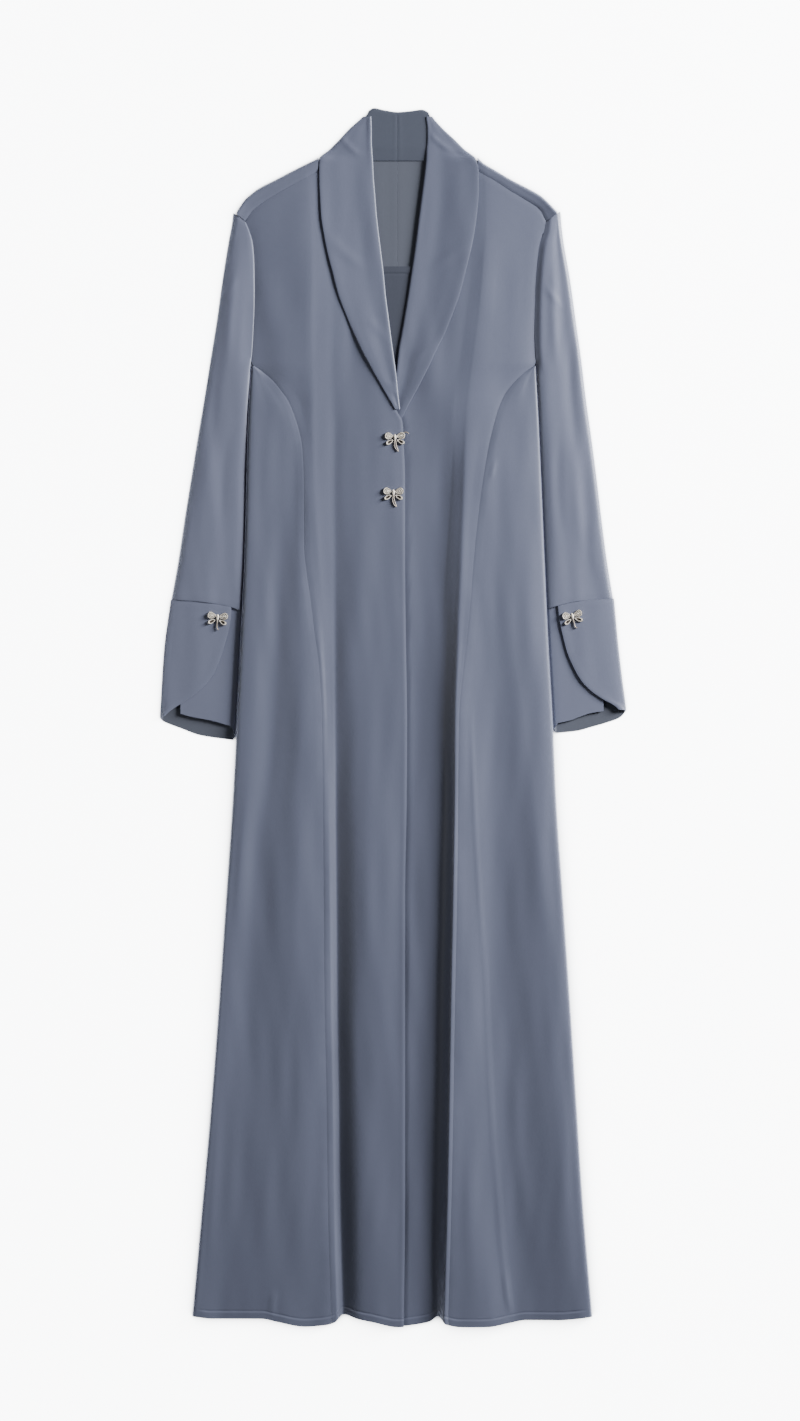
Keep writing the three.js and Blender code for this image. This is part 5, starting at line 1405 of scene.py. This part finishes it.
def make_materials(colours):
    weave_group()
    tone_group()
    for finishes, make in ((CLOTHS, cloth_material), (METALS, metal_material)):
        for name, finish in finishes.items():
            make(name, getattr(colours, f"{name}_dark"), getattr(colours, f"{name}_light"), *finish)


# ---------------------------------------------------------------------------------------------
# Stage, in metres
# ---------------------------------------------------------------------------------------------

FLOOR_SIZE = 8
FLOOR_TOP = -0.0002
FLOOR_DARK = (0.93, 0.935, 0.94, 1)
FLOOR_LIGHT = (0.96, 0.962, 0.965, 1)
FLOOR_GLOW = (0.97, 0.985, 1.0, 1)
CONTACT_SHADE = 0.075  # how far from the cloth the floor's glow is held back, a painted contact shadow
SOFTBOXES = (  # name, place, target, width, length, power
    ("key", (2.9, 1.5, 1.25), (0.05, 0.1, 0.0), 0.9, 1.4, 400),
    ("fill", (-1.6, 0.2, 1.3), (-0.2, 0.0, 0.0), 0.9, 1.6, 7),
)
ROOM_LIGHT = (0.98, 0.99, 1.0, 1)
ROOM_STRENGTH = 0.06
CAMERA_PLACE = (0.00875, 0.0081, 5.0)
PICTURE_HEIGHT = 1.77625  # what the frame shows of the floor, from top to bottom
SENSOR = 36


def make_floor(context):
    bpy.ops.object.select_all(action="DESELECT")
    bpy.ops.mesh.primitive_plane_add(size=FLOOR_SIZE, location=(0, 0, FLOOR_TOP))
    floor = context.active_object
    floor.name = "floor"
    tree, shader = new_material("floor_paint")
    shader.inputs["Roughness"].default_value = 0.9
    shader.inputs["Emission Color"].default_value = FLOOR_GLOW
    mottle = made(tree, "TexNoise").outputs["Fac"]
    tree.links.new(between(tree, FLOOR_DARK, FLOOR_LIGHT, mottle), shader.inputs["Base Color"])
    # painted contact shadow: the floor's glow dims where the cloth is near
    shade = made(tree, "AmbientOcclusion", Distance=CONTACT_SHADE)
    glow = ranged(tree, shade.outputs["AO"], From_Min=0.3, To_Max=9.0)
    glow.interpolation_type = "SMOOTHSTEP"
    tree.links.new(glow.outputs[0], shader.inputs["Emission Strength"])
    floor.data.materials.append(bpy.data.materials["floor_paint"])


def softbox(context, name, place, target, width, length, power):
    light = bpy.data.lights.new(name, "AREA")
    light.shape, light.size, light.size_y, light.energy = "RECTANGLE", width, length, power
    lamp = bpy.data.objects.new(name, light)
    context.scene.collection.objects.link(lamp)
    lamp.location = place
    lamp.rotation_euler = (Vector(target) - Vector(place)).to_track_quat("-Z", "Y").to_euler()


def make_world(context):
    world = bpy.data.worlds.new("studio")
    world.use_nodes = True
    background = world.node_tree.nodes["Background"]
    background.inputs["Color"].default_value = ROOM_LIGHT
    background.inputs["Strength"].default_value = ROOM_STRENGTH
    context.scene.world = world


def make_camera(context):
    """Camera that looks straight down; a new camera does, unturned."""
    camera = bpy.data.objects.new("camera", bpy.data.cameras.new("camera"))
    context.scene.collection.objects.link(camera)
    camera.location = CAMERA_PLACE
    camera.data.sensor_fit = "VERTICAL"
    camera.data.sensor_height = SENSOR
    camera.data.lens = SENSOR * CAMERA_PLACE[2] / PICTURE_HEIGHT
    context.scene.camera = camera


# ---------------------------------------------------------------------------------------------
# The add-on
# ---------------------------------------------------------------------------------------------

def length(name, description, default, **limits):
    return FloatProperty(
        name=name, description=description, default=default, unit="LENGTH", subtype="DISTANCE", **limits)


def tone(name, description, red, green, blue):
    return FloatVectorProperty(
        name=name, description=description, default=srgb(red, green, blue), size=4, min=0, max=1,
        subtype="COLOR")


class AbayaSizes(bpy.types.PropertyGroup):
    """Sizes of the cloth's finish"""

    pitch: length("Pitch", "Distance between the points of a sheet across its width", 0.0024, min=0.001)
    hem: length("Hem depth", "Distance from the hem's edge to its stitch line", 0.0095)
    groove: length("Seam groove", "Depth of the groove along a seam", 0.00014)
    pucker: length("Pucker", "Height of the uneven pucker beside a seam", 0.00005)


class AbayaColours(bpy.types.PropertyGroup):
    """Colours of the cloth and of the cast metal, each from a darker to a lighter tone"""

    abaya_satin_dark: tone("Satin, dark", "Darker tone of the body and collar", 90, 95, 114)
    abaya_satin_light: tone("Satin, light", "Lighter tone of the body and collar", 101, 106, 126)
    # painted sheen: the sleeves and cuffs are the body's satin made lighter, for the brighter light that
    # falls on them
    abaya_satin_sleeve_dark: tone("Sleeve, dark", "Darker tone of the sleeves and cuffs", 99, 104, 124)
    abaya_satin_sleeve_light: tone("Sleeve, light", "Lighter tone of the sleeves and cuffs", 110, 115, 136)
    # painted shade: the collar's stand is the satin made darker, for the shade inside the neck
    abaya_facing_dark: tone("Stand, dark", "Darker tone of the collar's stand", 67, 72, 85)
    abaya_facing_light: tone("Stand, light", "Lighter tone of the collar's stand", 76, 81, 95)
    abaya_satin_inside_dark: tone("Wrong side, dark", "Darker tone of the cloth's inside", 80, 84, 95)
    abaya_satin_inside_light: tone("Wrong side, light", "Lighter tone of the cloth's inside", 88, 92, 104)
    # painted shade: the neck inset is the satin made darker, for the shade in the neck opening
    abaya_inset_dark: tone("Inset, dark", "Darker tone of the neck inset", 58, 62, 74)
    abaya_inset_light: tone("Inset, light", "Lighter tone of the neck inset", 67, 71, 84)
    antique_silver_dark: tone("Silver, dark", "Darker tone of the wings and knots", 222, 212, 197)
    antique_silver_light: tone("Silver, light", "Lighter tone of the wings and knots", 254, 248, 236)
    antique_silver_dull_dark: tone("Tail, dark", "Darker tone of the tails and the hook", 118, 110, 103)
    antique_silver_dull_light: tone("Tail, light", "Lighter tone of the tails and the hook", 158, 149, 139)
    antique_silver_recess_dark: tone("Recess, dark", "Darker tone of the engraving", 38, 33, 31)
    antique_silver_recess_light: tone("Recess, light", "Lighter tone of the engraving", 66, 58, 53)


def sizes_of(context):
    """The property group's sizes in millimetres."""
    return {name: getattr(context.scene.abaya_sizes, name) / MM for name in AbayaSizes.__annotations__}


def make_pair(context, name, shape, satin="abaya_satin"):
    """Both halves of a part of the robe that is one wall: its shape is a function of the half."""
    for half in HALVES:
        grid = shape(Half(half), sizes_of(context))
        piece = cloth_piece(
            f"{name}_{half}_cloth", [wall(grid)], half, cloths=(satin, "abaya_satin_inside"))
        sewn(piece, f"{name}_{half}", grid)


class ABAYA_OT_materials(bpy.types.Operator):
    """Make the satin, its wrong side and the ornaments' metal, with copies of the satin painted lighter
    (sheen on the sleeves and cuffs) and darker (shade on the collar's stand and the neck inset)
    """
    bl_idname = "abaya.materials"
    bl_label = "Materials"

    def execute(self, context):
        make_materials(context.scene.abaya_colours)
        return {"FINISHED"}


class ABAYA_OT_backs(bpy.types.Operator):
    """Make both halves of the back, which turn forward over the shoulders"""
    bl_idname = "abaya.backs"
    bl_label = "Backs"

    def execute(self, context):
        for half in HALVES:
            grid, keep = back_grid(Half(half), sizes_of(context))
            piece = cloth_piece(f"back_{half}_cloth", [wall(grid, keep)], half, inside=1)
            sewn(piece, f"back_{half}", grid, keep)
        return {"FINISHED"}


class ABAYA_OT_centre_fronts(bpy.types.Operator):
    """Make both centre fronts, each with its big fold and its free front edge"""
    bl_idname = "abaya.centre_fronts"
    bl_label = "Centre fronts"

    def execute(self, context):
        make_pair(context, "centre_front", centre_front_grid)
        return {"FINISHED"}


class ABAYA_OT_side_fronts(bpy.types.Operator):
    """Make both side fronts, from the side seam to the princess seam"""
    bl_idname = "abaya.side_fronts"
    bl_label = "Side fronts"

    def execute(self, context):
        make_pair(context, "side_front", side_front_grid)
        return {"FINISHED"}


class ABAYA_OT_sleeves(bpy.types.Operator):
    """Make both sleeves"""
    bl_idname = "abaya.sleeves"
    bl_label = "Sleeves"

    def execute(self, context):
        # the sleeves take the lighter copy of the satin, painted sheen
        make_pair(context, "sleeve", sleeve_grid, "abaya_satin_sleeve")
        return {"FINISHED"}


class ABAYA_OT_cuffs(bpy.types.Operator):
    """Make both wrapped cuffs, each with a curved flap over a straight under flap"""
    bl_idname = "abaya.cuffs"
    bl_label = "Cuffs"

    def execute(self, context):
        # the cuffs take the lighter copy of the satin, painted sheen
        make_pair(context, "cuff", cuff_grid, "abaya_satin_sleeve")
        return {"FINISHED"}


class ABAYA_OT_collars(bpy.types.Operator):
    """Make both halves of the shawl collar with their stand"""
    bl_idname = "abaya.collars"
    bl_label = "Collars"

    def execute(self, context):
        for half in HALVES:
            h = Half(half)
            front, keep = collar_front_grid(h, sizes_of(context))
            back = collar_back_grid(h)
            stand = wall(back)
            # the stand takes the darker copy of the satin, painted shade inside the neck
            stand[2][:] = STAND_SHADE_LAYER
            piece = cloth_piece(f"collar_{half}_cloth", [wall(front, keep), stand], half)
            sewn(
                piece, f"collar_{half}", front, keep,
                more_length=BACK_NECK * MM, more_area=cut_size(back)[2])
        return {"FINISHED"}


class ABAYA_OT_inset(bpy.types.Operator):
    """Make the hemmed inset that shows in the opening below the neck"""
    bl_idname = "abaya.inset"
    bl_label = "Neck inset"

    def execute(self, context):
        grid = inset_grid(sizes_of(context))
        # the inset takes the darker copy of the satin, painted shade
        piece = cloth_piece("neck_inset_cloth", [wall(grid)], cloths=("abaya_inset", "abaya_inset"))
        sewn(piece, "neck_inset", grid)
        return {"FINISHED"}


class ABAYA_OT_ornaments(bpy.types.Operator):
    """Make the four dragonfly ornaments and sew them on"""
    bl_idname = "abaya.ornaments"
    bl_label = "Ornaments"

    def execute(self, context):
        upper = dragonfly("dragonfly_front_upper_cast", "front", hook=True)
        lower = dragonfly("dragonfly_front_lower_cast", "front")
        cuff = dragonfly("dragonfly_cuff_right_cast", "cuff")
        copy = cuff.copy()
        copy.data = cuff.data.copy()
        copy.name = "dragonfly_cuff_left_cast"
        context.scene.collection.objects.link(copy)
        for piece in (upper, lower, cuff, copy):
            set_down(piece, piece.name.removesuffix("_cast"))
        return {"FINISHED"}


class ABAYA_OT_stage(bpy.types.Operator):
    """Set up the pale floor, the soft lights and the camera"""
    bl_idname = "abaya.stage"
    bl_label = "Stage"

    def execute(self, context):
        make_floor(context)
        for row in SOFTBOXES:
            softbox(context, *row)
        make_world(context)
        make_camera(context)
        return {"FINISHED"}


STEPS = (
    ABAYA_OT_materials, ABAYA_OT_backs, ABAYA_OT_centre_fronts, ABAYA_OT_side_fronts,
    ABAYA_OT_sleeves, ABAYA_OT_cuffs, ABAYA_OT_collars, ABAYA_OT_inset, ABAYA_OT_ornaments,
    ABAYA_OT_stage,
)


class ABAYA_PT_panel(bpy.types.Panel):
    """Lists the steps that build the abaya"""
    bl_idname = "ABAYA_PT_panel"
    bl_label = "Abaya"
    bl_space_type = "VIEW_3D"
    bl_region_type = "UI"
    bl_category = "Abaya"

    def draw(self, context):
        column = self.layout.column()
        for group in (context.scene.abaya_sizes, context.scene.abaya_colours):
            for name in type(group).__annotations__:
                column.prop(group, name)
        for step in STEPS:
            column.operator(step.bl_idname)


CLASSES = (AbayaSizes, AbayaColours, *STEPS, ABAYA_PT_panel)


def register():
    for item in CLASSES:
        bpy.utils.register_class(item)
    bpy.types.Scene.abaya_sizes = PointerProperty(type=AbayaSizes)
    bpy.types.Scene.abaya_colours = PointerProperty(type=AbayaColours)


def unregister():
    del bpy.types.Scene.abaya_sizes
    del bpy.types.Scene.abaya_colours
    for item in reversed(CLASSES):
        bpy.utils.unregister_class(item)


def main():
    register()
    for step in STEPS:
        group, name = step.bl_idname.split(".")
        getattr(getattr(bpy.ops, group), name)()


if __name__ == "__main__":
    main()
